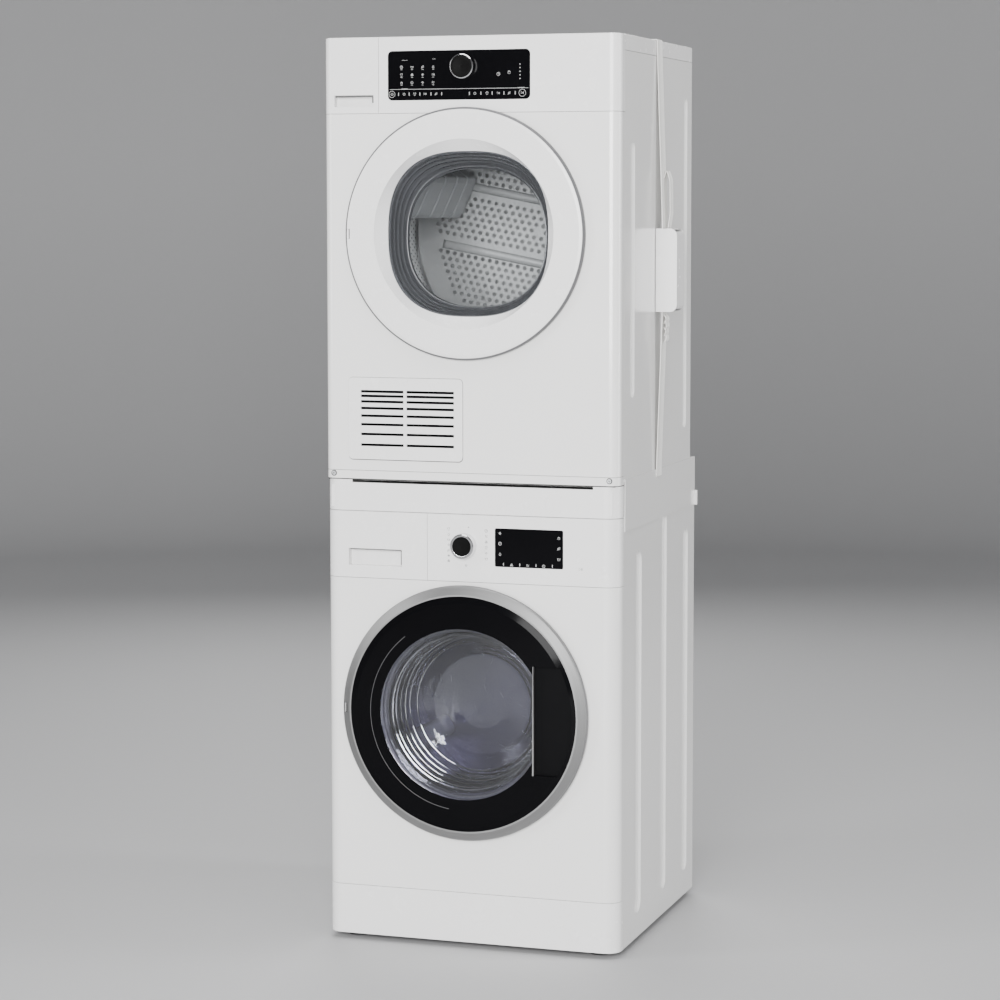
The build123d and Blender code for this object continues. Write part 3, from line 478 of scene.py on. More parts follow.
def join_rings(shape, rings, closed=False):
    """Faces from each ring of points to the next, and from the last to the first if closed."""
    following_rings = rings[1:] + rings[:1] if closed else rings[1:]
    for ring, following in zip(rings, following_rings):
        for i in range(len(ring)):
            j = (i + 1) % len(ring)
            shape.faces.new((ring[i], ring[j], following[j], following[i]))


def cap_ends(shape, rings):
    """Close the two ends of a run of rings."""
    shape.faces.new(rings[0])
    shape.faces.new(reversed(rings[-1]))


def finish_shape(name, shape, finish, body, smooth=None):
    """Make a piece of a built shape. With smooth, only edges over that many degrees stay sharp."""
    bmesh.ops.recalc_face_normals(shape, faces=shape.faces)
    for face in shape.faces:
        face.smooth = smooth is not None
    mesh = bpy.data.meshes.new(name)
    shape.to_mesh(mesh)
    shape.free()
    if smooth:
        mesh.set_sharp_from_angle(angle=math.radians(smooth))
    return finish_piece(bpy.data.objects.new(name, mesh), finish, body)


def lathe(name, profile, centre, finish, body, steps=160):
    """Revolve a closed profile of (radius, y) points about the Y-parallel axis at centre."""
    shape = bmesh.new()
    rings = []
    for step in range(steps):
        turn = 2 * math.pi * step / steps
        c, s = math.cos(turn), math.sin(turn)
        rings.append([shape.verts.new((centre.x + r * c, y, centre.z + r * s)) for r, y in profile])
    join_rings(shape, rings, closed=True)
    return finish_shape(name, shape, finish, body, smooth=35)


def strokes(name, lines, y, width, finish, body):
    """Thin raised lines on a front face at depth y. Each line is (points, closed)."""
    curve = bpy.data.curves.new(name, "CURVE")
    curve.dimensions = "3D"
    curve.bevel_depth = width / 2
    curve.bevel_resolution = 0
    curve.use_fill_caps = True
    for points, closed in lines:
        spline = curve.splines.new("POLY")
        spline.points.add(len(points) - 1)
        for point, (x, z) in zip(spline.points, points):
            point.co = (x, y, z, 1)
        spline.use_cyclic_u = closed
    return finish_piece(bpy.data.objects.new(name, curve), finish, body)


print("lathe and strokes are ready")

# %% [markdown]
# ## Signs on the two panels
#
# The panels carry small signs for programmes and options. They are generic here: a clock, a
# drop, a shirt, a snow star. Each is a few strokes inside a square of one unit, placed and
# scaled with one function.

# %% A small library of signs
def circle(x, z, r, start=0, end=360, steps=20):
    """Points on an arc, in degrees."""
    angles = [math.radians(start + (end - start) * i / steps) for i in range(steps + 1)]
    points = [(x + r * math.cos(a), z + r * math.sin(a)) for a in angles]
    return (points[:-1], True) if end - start == 360 else (points, False)


def line(*points):
    return (list(points), False)


def loop(*points):
    return (list(points), True)


SIGNS = {
    "clock": [circle(0, 0, 0.5), line((0, 0.3), (0, 0), (0.2, -0.1))],
    "power": [circle(0, 0, 0.42, 120, 420), line((0, 0.55), (0, 0.1))],
    "star": [
        line((-0.5, 0), (0.5, 0)),
        line((-0.25, 0.43), (0.25, -0.43)),
        line((0.25, 0.43), (-0.25, -0.43)),
    ],
    "drop": [loop((0, 0.5), (0.3, -0.05), (0.25, -0.4), (0, -0.5), (-0.25, -0.4), (-0.3, -0.05))],
    "shirt": [
        loop(
            (-0.2, 0.5), (-0.5, 0.25), (-0.38, 0.05), (-0.25, 0.15), (-0.25, -0.5),
            (0.25, -0.5), (0.25, 0.15), (0.38, 0.05), (0.5, 0.25), (0.2, 0.5), (0, 0.35),
        )
    ],
    "basin": [
        line((-0.5, 0.3), (-0.35, -0.4), (0.35, -0.4), (0.5, 0.3)),
        line((-0.42, 0.1), (-0.15, 0.2), (0.1, 0.05), (0.42, 0.12)),
    ],
    "sun": [
        circle(0, 0, 0.25),
        line((0.35, 0), (0.5, 0)),
        line((0, 0.35), (0, 0.5)),
        line((-0.35, 0), (-0.5, 0)),
        line((0, -0.35), (0, -0.5)),
    ],
    "start": [
        loop((-0.45, 0.4), (0.1, 0), (-0.45, -0.4)),
        line((0.25, 0.35), (0.25, -0.35)),
        line((0.45, 0.35), (0.45, -0.35)),
    ],
    "lock": [loop((-0.35, 0), (0.35, 0), (0.35, -0.5), (-0.35, -0.5)), circle(0, 0, 0.25, 0, 180)],
    "fan": [circle(0, 0.25, 0.2), circle(-0.22, -0.15, 0.2), circle(0.22, -0.15, 0.2)],
    "leaf": [loop((-0.4, -0.4), (-0.3, 0.2), (0.4, 0.45), (0.35, -0.2)), line((-0.5, -0.5), (0.2, 0.2))],
    "waves": [
        line((-0.5, 0.2), (-0.2, 0.4), (0.1, 0.1), (0.5, 0.3)),
        line((-0.5, -0.25), (-0.2, -0.05), (0.1, -0.35), (0.5, -0.15)),
    ],
}


def sign(kind, x, z, size):
    """The strokes of one sign, centred at x, z and size metres tall."""
    placed = []
    for points, closed in SIGNS[kind]:
        placed.append(([(x + px * size, z + pz * size) for px, pz in points], closed))
    return placed


def bar(x, z, width, height):
    """A short thick bar, as two strokes side by side."""
    half = height / 2
    return [line((side, z - half), (side, z + half)) for side in (x - width / 4, x + width / 4)]


print(len(SIGNS), "signs")

# %% [markdown]
# ## Washer panel
#
# Two columns of grey signs stand left and right of the knob. The dark display has white
# signs down both sides and a row of touch marks along its lower edge.

# %% Print the washer's panel
white_print = coated("white_print", (0.75, 0.75, 0.75), 0.5, grain=0.0006)
grey_print = coated("grey_print", (0.10, 0.10, 0.105), 0.5, grain=0.0006)
panel_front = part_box("washer_control_panel")[0].y
display_low, display_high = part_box("washer_display")
knob_low, knob_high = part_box("washer_knob")
knob_x = (knob_low.x + knob_high.x) / 2
knob_z = (knob_low.z + knob_high.z) / 2
marks = []
for i, kind in enumerate(("shirt", "drop", "basin", "sun", "leaf", "star", "fan")):
    marks += sign(kind, knob_x - 0.0317, knob_z + 0.0317 - i * 0.01035, 0.0056)
for i, kind in enumerate(("clock", "waves", "fan", "shirt", "sun", "basin")):
    marks += sign(kind, knob_x + 0.0446, knob_z + 0.0303 - i * 0.0108, 0.0056)
marks += sign("sun", knob_x + 0.0086, knob_z + 0.036, 0.003)
marks += sign("power", knob_x + 0.0037, knob_z - 0.038, 0.0045)
marks += sign("start", knob_x + 0.2336, knob_z - 0.0367, 0.0075)
strokes("washer_panel_signs", marks, panel_front, 0.0006, grey_print, "stack")

glass_z = display_high.z
glow = []
for i, kind in enumerate(("star", "clock", "drop")):
    glow += sign(kind, display_low.x + 0.0135, glass_z - 0.0125 - i * 0.02, 0.006)
for i, kind in enumerate(("lock", "leaf", "basin")):
    glow += sign(kind, display_high.x - 0.0115, glass_z - 0.0175 - i * 0.0205, 0.006)
foot_z = display_low.z + 0.0075
for i in range(4):
    glow += bar(display_low.x + 0.0206 + i * 0.0327, foot_z + 0.001, 0.0014, 0.005)
for i, kind in enumerate(("fan", "waves", "clock")):
    glow += sign(kind, display_low.x + 0.037 + i * 0.0322, foot_z, 0.0055)
display_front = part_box("washer_display")[0].y
strokes("washer_display_signs", glow, display_front, 0.0006, white_print, "stack")
print("washer panel:", len(marks), "grey strokes,", len(glow), "white strokes")

# %% [markdown]
# ## Dryer panel
#
# The dryer's controls sit in one black window: a grid of programme signs on the left, time
# and option lights on the right, and a row of touch fields under a hairline.

# %% Print the dryer's window
window_low, window_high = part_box("dryer_control_window")
frame_x = window_low.x + 0.003
frame_z = window_high.z - 0.003
window_front = window_low.y
light = []
kinds = list(SIGNS)
for row in range(3):
    for column in range(4):
        x = frame_x + 0.0279 + column * 0.0214
        z = frame_z - 0.031 - row * 0.0147
        light += sign(kinds[(row * 4 + column * 5) % len(kinds)], x, z, 0.0052)
        light.append(line((x - 0.002, z - 0.0048), (x + 0.002, z - 0.0048)))
for x, z, length in ((0.0348, 0.018, 0.012), (0.0936, 0.0163, 0.007)):
    for i in range(5):
        start = frame_x + x - length / 2 + i * length / 5
        light.append(line((start, frame_z - z), (start + length / 8, frame_z - z)))
light += sign("clock", frame_x + 0.2229, frame_z - 0.0465, 0.006)
light += sign("lock", frame_x + 0.2442, frame_z - 0.0424, 0.0065)
for i in range(5):
    light += sign("sun", frame_x + 0.2659, frame_z - 0.0285 - i * 0.0067, 0.0026)
rule = frame_z - 0.073
light.append(line((frame_x + 0.004, rule), (frame_x + 0.282, rule)))
for x in (0.034, 0.2685):
    light.append(line((frame_x + x - 0.0065, rule + 0.0008), (frame_x + x + 0.0065, rule + 0.0008)))
touch = frame_z - 0.0822
light.append(circle(frame_x + 0.0085, touch, 0.0062))
light += sign("power", frame_x + 0.0085, touch, 0.0055)
light.append(circle(frame_x + 0.2705, touch, 0.0068))
light += sign("start", frame_x + 0.2705, touch, 0.0055)
for x in (0.0218, 0.0434, 0.0651, 0.0876, 0.1092, 0.165, 0.188, 0.2105, 0.2339, 0.2564):
    light += bar(frame_x + x, touch, 0.0014, 0.006)
for i, x in enumerate((0.0331, 0.0547, 0.0755, 0.098, 0.1759, 0.2001, 0.2226, 0.2443)):
    light += sign(kinds[(i * 3 + 1) % len(kinds)], frame_x + x, touch, 0.0052)
strokes("dryer_window_signs", light, window_front, 0.00055, white_print, "stack")
print("dryer window:", len(light), "strokes")

# %% [markdown]
# ## Webbing strap
#
# The strap that ties the two machines runs up one side, through the ratchet, over the top
# and down the other side. CAD has it as a bare band. Real webbing is a soft flat tube with
# thicker edges, so its cross-section is drawn here with two rounded selvedges and carried
# along the route. The spare end hangs in a loop behind it, and a few folds are gathered
# under the ratchet.

# %% Carry a cross-section along the route
def band(name, route, middle_y, width, thick, body):
    """Webbing along a route of (x, z) points: each point gets one cross-section."""
    half = width / 2
    section = [(-half, 0.3), (-half, 1.0), (-half * 0.8, 1.0), (-half * 0.74, 0.72), (0, 0.8)]
    section += [(-offset, level) for offset, level in reversed(section[:-1])]
    section += [(offset, -level) for offset, level in reversed(section)]
    shape = bmesh.new()
    rings = []
    for i, (x, z) in enumerate(route):
        back = Vector(route[max(i - 1, 0)])
        ahead = Vector(route[min(i + 1, len(route) - 1)])
        run = (ahead - back).normalized()
        out = Vector((run.y, -run.x))
        ring = []
        for offset, level in section:
            lift = level * thick / 2
            ring.append(shape.verts.new((x + out.x * lift, middle_y + offset, z + out.y * lift)))
        rings.append(ring)
    join_rings(shape, rings)
    cap_ends(shape, rings)
    return finish_shape(name, shape, webbing, body, smooth=50)


def smooth_route(corners, radius=0.006, step=0.02):
    """Round the corners of a route and add points along its straight runs."""
    points = [Vector(corners[0])]
    for before, corner, after in zip(corners, corners[1:], corners[2:]):
        corner = Vector(corner)
        leave = (Vector(before) - corner).normalized()
        reach = (Vector(after) - corner).normalized()
        start, end = corner + leave * radius, corner + reach * radius
        for i in range(6):
            t = i / 5
            points.append(start * (1 - t) ** 2 + corner * 2 * t * (1 - t) + end * t**2)
    points.append(Vector(corners[-1]))
    route = []
    for first, second in zip(points, points[1:]):
        count = max(1, round((second - first).length / step))
        route += [tuple(first.lerp(second, i / count)) for i in range(count)]
    return route + [tuple(points[-1])]


strap_low, strap_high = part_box("strap")
skirt_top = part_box("kit_frame")[1].z
cover_low, cover_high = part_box("ratchet_cover")
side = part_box("dryer_cabinet")[1].x
outside = side + 0.0035
foot = skirt_top - 0.014
standoff = strap_high.x - 0.005
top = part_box("dryer_top_cover")[1].z
right_run = [(outside, foot), (outside, skirt_top + 0.008), (standoff, cover_low.z - 0.01)]
right_run += [(standoff, cover_high.z + 0.008), (side + 0.0022, top - 0.032)]
corner_run = [(side + 0.0013, top + 0.0013), (-side - 0.0013, top + 0.0013)]
left_run = [(-side - 0.0022, top - 0.032), (-outside, skirt_top + 0.008), (-outside, foot)]
strap_y = (strap_low.y + strap_high.y) / 2
route = smooth_route(right_run + corner_run + left_run, radius=0.0025)
strap_webbing = band("strap_webbing", route, strap_y, 0.036, 0.0016, "stack")
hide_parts("strap")
print("strap sections:", len(route))

# %% The spare end and the gathered folds
loop_top = cover_high.z + 0.115
spare = [(standoff + 0.004, cover_high.z - 0.01), (standoff + 0.010, cover_high.z + 0.03)]
spare += [(standoff + 0.009, loop_top - 0.02), (standoff + 0.002, loop_top)]
spare += [(standoff - 0.004, loop_top - 0.02), (standoff - 0.0042, cover_high.z + 0.01)]
band("strap_spare_end", smooth_route(spare, radius=0.006, step=0.01), strap_y + 0.014, 0.022, 0.0014, "stack")
for i in range(4):
    z = cover_low.z - 0.016 - i * 0.012
    x = standoff + 0.002 + 0.001 * (i % 2)
    fold = [(x, z + 0.009), (x + 0.0035, z + 0.006), (x + 0.0045, z), (x + 0.003, z - 0.005), (x, z - 0.007)]
    curl = smooth_route(fold, radius=0.002, step=0.002)
    band(f"strap_fold_{i + 1}", curl, strap_y - 0.001 * i, 0.026 - 0.002 * i, 0.0013, "stack")
print("spare end and four folds")

# %% [markdown]
# ## Dryer drum and its door
#
# Behind the dryer's window are three things: the smoked bowl of the door, a broad lifting
# rib made of narrow shells, and the back plate, through whose holes the warm air comes. The
# holes are real here. A flat curve with holes inside it is filled by Blender, given a
# thickness, and turned into a mesh, which is far faster than a thousand cuts.

# %% Back plate with its holes
PLATE_TILT = math.radians(-11)  # the rows of holes are not level
BAND_OFFSET = 0.064  # each plain band's distance from the middle


def punched_plate(name, centre, radius, y, thick, finish, body):
    """A disc with rows of holes between two plain bands."""
    curve = bpy.data.curves.new(name, "CURVE")
    curve.dimensions = "2D"
    curve.fill_mode = "BOTH"
    curve.extrude = thick / 2

    def outline(x, z, r, steps):
        spline = curve.splines.new("POLY")
        spline.points.add(steps - 1)
        for i, point in enumerate(spline.points):
            turn = 2 * math.pi * i / steps
            point.co = (x + r * math.cos(turn), z + r * math.sin(turn), 0, 1)
        spline.use_cyclic_u = True

    outline(0, 0, radius, 96)
    count = 0
    for row in range(-22, 23):
        for column in range(-20, 21):
            u = (column + 0.5 * (row % 2)) * 0.0156
            v = row * 0.0132
            x = u * math.cos(PLATE_TILT) - v * math.sin(PLATE_TILT)
            z = u * math.sin(PLATE_TILT) + v * math.cos(PLATE_TILT)
            plain = any(abs(v - level) < 0.0115 for level in (-BAND_OFFSET, BAND_OFFSET))
            if 0.008 < math.hypot(x, z) < radius - 0.04 and not plain:
                outline(x, z, 0.0046, 12)
                count += 1
    flat = bpy.data.objects.new(name + "_flat", curve)
    bpy.context.scene.collection.objects.link(flat)
    bpy.context.view_layer.update()
    mesh = bpy.data.meshes.new_from_object(flat.evaluated_get(bpy.context.evaluated_depsgraph_get()))
    bpy.data.objects.remove(flat)
    mesh.name = name
    upright = Matrix(((1, 0, 0, centre.x), (0, 0, -1, y), (0, 1, 0, centre.z), (0, 0, 0, 1)))
    mesh.transform(upright)
    print(name, "has", count, "holes")
    return finish_piece(bpy.data.objects.new(name, mesh), finish, body)


wall_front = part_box("dryer_rear_wall")[0].y
wall_centre = centre_of("dryer_rear_wall")
plate = punched_plate(
    "dryer_back_plate", wall_centre, 0.264, wall_front + 0.002, 0.002, plate_steel, "stack"
)
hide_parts("dryer_rear_wall")

# %% Raised bands of the back plate
def raised_band(name, centre, angle, offset, length, y):
    """A long low pillow across the plate."""
    shape = bmesh.new()
    along = Vector((math.cos(angle), 0, math.sin(angle)))
    over = Vector((-math.sin(angle), 0, math.cos(angle)))
    rows = []
    for share in (-1, -0.96, -0.5, 0, 0.5, 0.96, 1):
        row = []
        for side_share, lift in ((-1, 0), (-0.6, 0.8), (0, 1), (0.6, 0.8), (1, 0)):
            rise = 0.0035 * lift * (0 if abs(share) == 1 else 1)
            spot = centre + over * (offset + side_share * 0.0085) + along * share * length / 2
            row.append(shape.verts.new((spot.x, y - rise, spot.z)))
        rows.append(row)
    for row, following in zip(rows, rows[1:]):
        for i in range(4):
            shape.faces.new((row[i], row[i + 1], following[i + 1], following[i]))
    bmesh.ops.recalc_face_normals(shape, faces=shape.faces)
    bmesh.ops.solidify(shape, geom=shape.faces[:], thickness=0.0008)
    return finish_shape(name, shape, plate_steel, "stack", smooth=180)


for i, offset in enumerate((BAND_OFFSET, -BAND_OFFSET)):
    raised_band(f"dryer_plate_band_{i + 1}", wall_centre, PLATE_TILT, offset, 0.40, wall_front + 0.0008)
print("two raised bands")

# %% Shells of the lifting ribs
SHELL_SECTION = (  # how far from the axis, and how far to the side
    (0.1625, -0.034),
    (0.1655, -0.046),
    (0.260, -0.0625),
    (0.260, 0.0625),
    (0.1655, 0.046),
    (0.1625, 0.034),
)
SHELL_SHARES = (0.26, 0.22, 0.19, 0.17, 0.16)  # of the rib's length, from the front


def rib_shells(name, centre, turn, y0, y1):
    """Rounded shells side by side along one rib, with dark grooves between them."""
    shape = bmesh.new()
    outward = Vector((math.cos(turn), 0, math.sin(turn)))
    sideways = Vector((-math.sin(turn), 0, math.cos(turn)))
    start = y0
    for share in SHELL_SHARES:
        end = start + (y1 - y0) * share
        ends = []
        for y in (start + 0.0025, end - 0.0025):
            ring = []
            for reach, half in SHELL_SECTION:
                spot = centre + outward * reach + sideways * half
                ring.append(shape.verts.new((spot.x, y, spot.z)))
            ends.append(ring)
        join_rings(shape, ends)
        cap_ends(shape, ends)
        start = end
    piece = finish_shape(name, shape, lifter_grey, "dryer_drum")
    rounding = piece.modifiers.new("rounding", "BEVEL")
    rounding.width = 0.0035
    rounding.segments = 3
    return piece


drum_low, drum_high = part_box("dryer_drum")
drum_centre = centre_of("dryer_drum")
for i, degrees in enumerate((35, 155, 275)):
    turn = math.radians(degrees)
    rib_shells(f"dryer_rib_shells_{i + 1}", drum_centre, turn, drum_low.y + 0.006, drum_high.y - 0.004)
print("fifteen shells on three ribs")

# %% Smoked bowl of the dryer's door
smoked = brushed_ring("smoked", "dryer_door_rim", (0.22, 0.22, 0.228), 0.24)
smoked.set(Metallic=0.7)


def rounded_square(half_x, half_z, power, steps=120):
    """Points of a rounded square about the origin."""
    points = []
    for i in range(steps):
        turn = 2 * math.pi * i / steps
        c, s = math.cos(turn), math.sin(turn)
        x = half_x * math.copysign(abs(c) ** (2 / power), c)
        z = half_z * math.copysign(abs(s) ** (2 / power), s)
        points.append((x, z))
    return points


def skin(name, sections, centre, finish, body):
    """Join closed sections, each (points, y, drop), into one closed shell."""
    shape = bmesh.new()
    rings = []
    for points, y, drop in sections:
        rings.append([shape.verts.new((centre.x + x, y, centre.z + z - drop)) for x, z in points])
    join_rings(shape, rings, closed=True)
    return finish_shape(name, shape, finish, body, smooth=40)


rim_centre = centre_of("dryer_door_rim")
glass_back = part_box("dryer_door_glass")[1].y
inner = []
section_count = 25
for i in range(section_count):
    share = i / (section_count - 1)
    ledge = 0.0011 * (i % 5 == 1) + 0.0005 * (i % 5 == 3)
    half_x = 0.1600 - 0.0210 * share**1.3 - ledge
    half_z = 0.1560 - 0.0235 * share**1.3 - ledge
    outline = rounded_square(half_x, half_z, 2.6 - 0.3 * share)
    inner.append((outline, glass_back + 0.0004 + share * 0.052, share * 0.008))
outer = []
for points, y, drop in reversed(inner):
    outer.append(([(x * 1.02, z * 1.02) for x, z in points], y + 0.0004, drop))
skin("dryer_door_bowl", inner + outer, rim_centre, smoked, "dryer_door")
oval = rounded_square(0.142, 0.136, 2.35)
edge = [(rim_centre.x + x * 0.995, rim_centre.z + z * 0.995 - 0.006) for x, z in oval]
strokes("dryer_bowl_edge", [(edge, True)], glass_back + 0.046, 0.0022, silver, "dryer_door")
# Painted shade: a thin dark ring in the gap behind the door's rim stands for the shadow in that gap.
gap_shade = [(0.2315, -0.0002), (0.2315, -0.0034), (0.2375, -0.0034), (0.2385, -0.0002)]
panel_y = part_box("dryer_door_rim")[0].y + 0.0135
lathe("dryer_door_gap_shade", [(r, panel_y + y) for r, y in gap_shade], rim_centre, rubber, "stack", 128)
# Painted shade: a dark grey ring over the rim's rounded outer edge, where it turns away from the light.
trim = [(0.2368, -0.0119), (0.2372, -0.0126), (0.2397, -0.0109)]
trim += [(0.2408, -0.0078), (0.2408, -0.0036), (0.2398, -0.0036)]
trim = [(r, panel_y + y) for r, y in trim]
lathe("dryer_rim_painted_shade", trim, rim_centre, edge_grey, "dryer_door", 192)
print("bowl, bright edge, seal and rim line")

# %% [markdown]
# ## Washer door trim
#
# Four thin things give the washer's door its look: the dark edge round the silver ring, a
# fine arc in the black disc, the pale strip along the straight side of the grip, and the
# moulded beads round the glass bowl, which catch the light as bright arcs.

# %% Rings, the strip and the beads
door_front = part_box("washer_door_ring")[1].y
edge_ring = [(0.2472, -0.001), (0.2472, -0.0078), (0.2484, -0.0074), (0.2487, -0.001)]
edge_ring = [(r, door_front + y) for r, y in edge_ring]
lathe("washer_ring_edge", edge_ring, door_middle, edge_grey, "washer_door")
cover_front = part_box("washer_door_cover")[0].y
arc = circle(door_middle.x, door_middle.z, 0.1866, 128, 262, 48)
strokes("washer_cover_line", [arc], cover_front + 0.0003, 0.0010, edge_grey, "washer_door")


def grip_strip(name, x, z_low, z_high, y_front, y_back):
    """A pale blade along the grip's straight edge, wider towards its lower end."""
    shape = bmesh.new()
    rings = []
    for share in (0, 0.04, 0.3, 0.6, 0.96, 1):
        z = z_low + (z_high - z_low) * share
        half = 0.0013 - 0.0008 * share
        corners = ((-half, y_front), (half, y_front), (half, y_back), (-half, y_back))
        rings.append([shape.verts.new((x + dx, y, z)) for dx, y in corners])
    join_rings(shape, rings)
    cap_ends(shape, rings)
    return finish_shape(name, shape, silver, "washer_door")


grip_ends = (door_middle.z - 0.110, door_middle.z + 0.101)
grip_strip("washer_grip_strip", 0.1362, *grip_ends, cover_front - 0.0004, cover_front + 0.010)
beads = [(0.1512, 0.001), (0.1494, 0.0150), (0.1466, 0.0330)]
beads += [(0.1425, 0.0480), (0.1372, 0.0600), (0.1275, 0.0760)]
for i, (r, depth) in enumerate(beads):
    size = 0.0016 - 0.0001 * i
    round_bead = []
    for eighth in range(8):
        turn = math.pi / 4 * eighth
        round_bead.append((r + size * math.cos(turn), panel_y + depth + size * math.sin(turn)))
    lathe(f"washer_bowl_bead_{i + 1}", round_bead, door_middle, bead_glass, "washer_door", 128)
print("door trim made")

# %% [markdown]
# ## Small fittings
#
# Screws sit at the ends of the dryer's lower strip and round the rear panels; at the front
# ones a black ring and cross are painted shade of the recess round the head and its slot.
# A dark screen behind the louvres is painted shade that keeps the slots black, and a black
# strip in the gap under the dryer is painted shade of that gap. A finger pocket is shallow
# here, so a dark edge under its upper lip is painted shade that stands for its depth.

# %% Screws and vents
REAR_ROUND = (0.4, 1.2, 1.95, 2.75, 3.55, 4.35, 5.1, 5.9)  # turns of the screws round a cover


def round_places(centre, radius):
    """Places of the screws round a circular rear cover."""
    return [(centre.x + radius * math.cos(a), centre.z + radius * math.sin(a)) for a in REAR_ROUND]


def screws(name, places, y, facing, radius, finish):
    """Low domed heads with a sunk middle, all in one mesh. facing is -1 for the front."""
    shape = bmesh.new()
    for x, z in places:
        rings = []
        for r, lift in ((1.0, 0.0), (1.0, 0.25), (0.8, 0.45), (0.35, 0.55), (0.3, 0.2)):
            ring = []
            for i in range(16):
                turn = 2 * math.pi * i / 16
                across, up = radius * r * math.cos(turn), radius * r * math.sin(turn)
                ring.append(shape.verts.new((x + across, y + facing * radius * lift, z + up)))
            rings.append(ring)
        join_rings(shape, rings)
        cap_ends(shape, rings)
    return finish_shape(name, shape, finish, "stack")


screw_low, screw_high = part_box("base_strip_screws")
screw_z = (screw_low.z + screw_high.z) / 2
# Painted shade: a black ring round each screw and a black cross on its head stand for the shade in the recess
# round the head and in its cross slot.
for i, x in enumerate((screw_low.x + 0.0042, screw_high.x - 0.0042)):
    shade_ring = [(0.0043, 0.0), (0.0043, -0.0005), (0.0056, -0.0005), (0.0058, 0.0)]
    shade_ring = [(r, panel_y + y) for r, y in shade_ring]
    middle = Vector((x, 0, screw_z))
    lathe(f"screw_shade_ring_{i + 1}", shade_ring, middle, black_plastic, "stack", 32)
    crossed = sign("star", x, screw_z, 0.0044)[:2]
    recess_y = screw_low.y - 0.0001
    strokes(f"screw_slot_shade_{i + 1}", crossed, recess_y, 0.0006, black_plastic, "stack")
rear_washer = [(x, z) for x in (-0.28, 0.28) for z in (0.06, 0.25, 0.45, 0.65, 0.82)]
rear_washer += round_places(door_middle, 0.172)
washer_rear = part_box("washer_top_panel")[1].y
screws("washer_rear_screws", rear_washer, washer_rear, 1, 0.0045, zinc)
rear_dryer = [(x, z) for x in (-0.28, 0.28) for z in (0.95, 1.15, 1.4, 1.6, 1.71)]
rear_dryer += round_places(rim_centre, 0.24)
dryer_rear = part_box("dryer_top_cover")[1].y
screws("dryer_rear_screws", rear_dryer, dryer_rear, 1, 0.0045, zinc)
vents = [line((x, 0.96), (x, 1.06)) for x in [0.02 + 0.012 * i for i in range(12)]]
strokes("dryer_rear_vents", vents, dryer_rear, 0.003, black_plastic, "stack")
print("screws and vents")

# %% Painted shade: screen behind the louvres, strip in the deck gap and pocket edges
# Painted shade: black slabs behind the louvres keep the slots dark in place of the shade inside them.
flap_low, flap_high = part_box("heat_exchanger_flap")
slabs = [(flap_low.x - 0.004, flap_high.x + 0.004, flap_low.z - 0.004, flap_high.z + 0.004, 0.0085, 0.0105)]
for z in (0.98, 1.01, 1.04, 1.07):
    slabs.append((flap_low.x + 0.01, flap_high.x - 0.01, z, z + 0.002, 0.0065, 0.0086))
shape = bmesh.new()
for x0, x1, z0, z1, y0, y1 in slabs:
    corners = ((x0, z0), (x1, z0), (x1, z1), (x0, z1))
    ends = [[shape.verts.new((x, panel_y + y, z)) for x, z in corners] for y in (y0, y1)]
    join_rings(shape, ends)
    cap_ends(shape, ends)
finish_shape("exchanger_painted_shade", shape, black_plastic, "stack")
tank_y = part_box("tank_front")[0].y
slot_top = [line((-0.272, 1.6496), (-0.1965, 1.6496), (-0.1952, 1.6482), (-0.1952, 1.6370))]
strokes("tank_grip_shadow", slot_top, tank_y + 0.0012, 0.0032, shadow_grey, "water_tank")
drawer_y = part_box("drawer_front")[0].y
pocket_top = [line((-0.246, 0.7744), (-0.1420, 0.7744), (-0.1408, 0.7732), (-0.1408, 0.7460))]
pocket_y = drawer_y + 0.0014
strokes("drawer_grip_shadow", pocket_top, pocket_y, 0.0018, shadow_grey, "detergent_drawer")
# Painted shade: a black strip along the gap under the dryer stands for the shadow in that gap.
shelf_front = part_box("kit_shelf")[0].y
gap = [line((-0.2905, 0.91145), (0.2905, 0.91145))]
strokes("deck_gap_painted_shade", gap, shelf_front + 0.0014, 0.0018, black_plastic, "stack")
print("screen, foam and two pocket edges")

# %% [markdown]
# ## Floor, lamps and camera
#
# A pale round floor that curves up into a wall gives the white boxes something quiet to reflect.
# One broad lamp in front lights both doors, tall ones at the right and left draw soft
# highlights down the corners, and weak ones above and behind open the shadows.

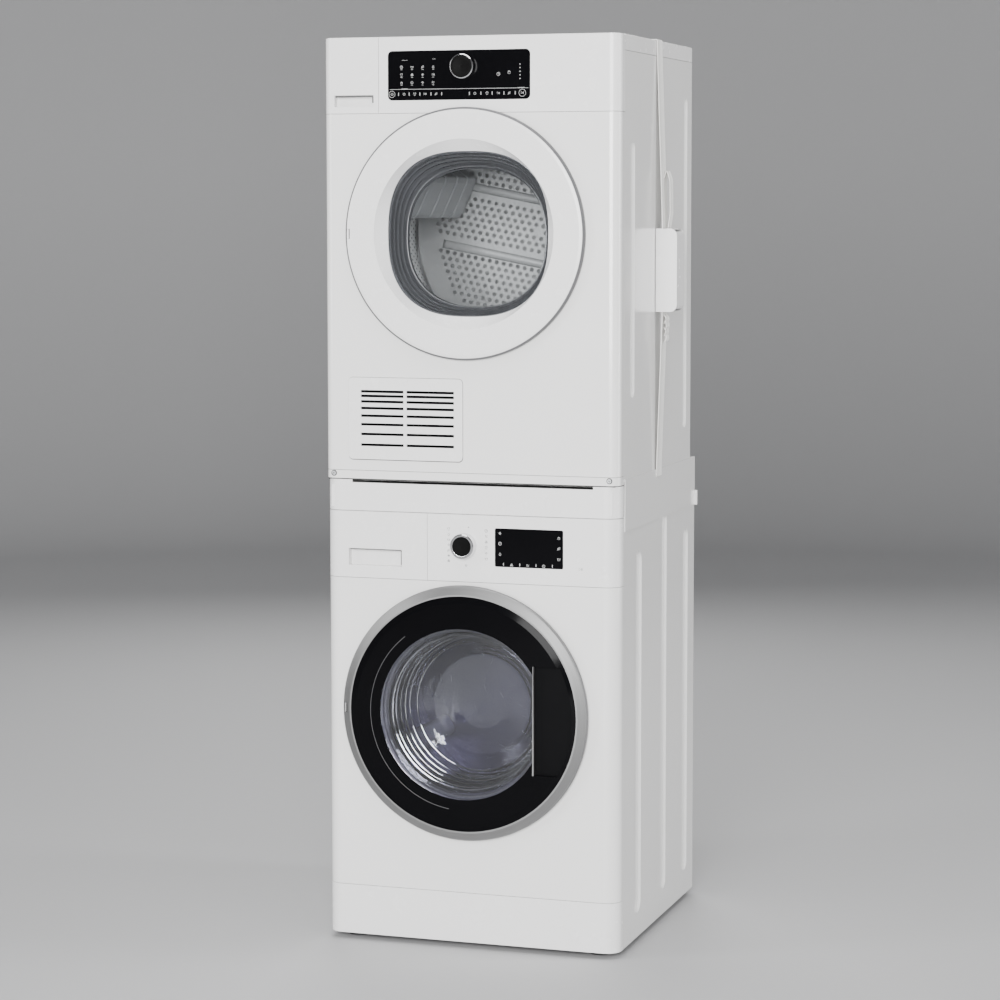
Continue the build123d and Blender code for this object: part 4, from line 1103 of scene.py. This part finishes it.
# %% Studio
def backdrop(reach=6.2, curve=1.8, height=6.0):
    """A round floor that rises into a wall on every side."""
    mesh = bpy.data.meshes.new("floor")
    shape = bmesh.new()
    profile = [(0.0, 0.0), (2.0, 0.0), (reach, 0.0)]
    for step in range(1, 13):
        turn = math.pi / 2 * step / 12
        profile.append((reach + curve * math.sin(turn), curve - curve * math.cos(turn)))
    profile.append((reach + curve, height))
    spine = [shape.verts.new((r, 0, z)) for r, z in profile]
    edges = [shape.edges.new(pair) for pair in zip(spine, spine[1:])]
    bmesh.ops.spin(shape, geom=spine + edges, cent=(0, 0, 0), axis=(0, 0, 1), angle=2 * math.pi, steps=96)
    bmesh.ops.remove_doubles(shape, verts=shape.verts[:], dist=0.0001)
    bmesh.ops.recalc_face_normals(shape, faces=shape.faces[:])
    shape.to_mesh(mesh)
    shape.free()
    for face in mesh.polygons:
        face.use_smooth = True
    floor = bpy.data.objects.new("floor", mesh)
    bpy.context.scene.collection.objects.link(floor)
    dress(floor, rough("floor_paint", (0.46, 0.46, 0.465), 0.6, 0.02, 0.0001, spots=0.02))


def lamp(name, place, target, width, height, power):
    """A soft rectangular lamp that points at target."""
    light = bpy.data.lights.new(name, "AREA")
    light.shape = "RECTANGLE"
    light.size = width
    light.size_y = height
    light.energy = power
    holder = bpy.data.objects.new(name, light)
    holder.location = place
    holder.rotation_euler = (Vector(target) - Vector(place)).to_track_quat("-Z", "Y").to_euler()
    holder.visible_camera = False
    bpy.context.scene.collection.objects.link(holder)


backdrop()
lamp("key", (1.0, -6.2, 2.1), (0, 0, 0.95), 3.2, 2.6, 710)
lamp("side", (3.6, 0.6, 1.7), (0.2, 0, 0.9), 0.8, 3.0, 80)
lamp("left", (-3.4, -2.6, 2.0), (0, 0, 0.9), 0.8, 2.4, 60)
lamp("top", (0.3, -1.2, 4.4), (0, 0, 0.8), 3.0, 2.0, 90)
lamp("back", (-1.4, 3.6, 2.6), (0, 0.3, 1.1), 2.0, 1.6, 75)
world = bpy.data.worlds.new("studio")
bpy.context.scene.world = world
world.use_nodes = True
world.node_tree.nodes["Background"].inputs[0].default_value = (0.9, 0.92, 0.95, 1)
world.node_tree.nodes["Background"].inputs[1].default_value = 0.16
print("floor, five lamps and a world")

# %% Camera
view = bpy.data.cameras.new("camera")
view.sensor_width = 36.0
view.lens = 101.85
view.shift_x = -0.021
view.shift_y = -0.053
camera = bpy.data.objects.new("camera", view)
camera.location = (1.7547, -5.3978, 1.4401)
camera.rotation_euler = (math.pi / 2 - 0.085, 0, 0.3124)
bpy.context.scene.collection.objects.link(camera)
bpy.context.scene.camera = camera
print("camera", round(view.lens, 1), "mm")
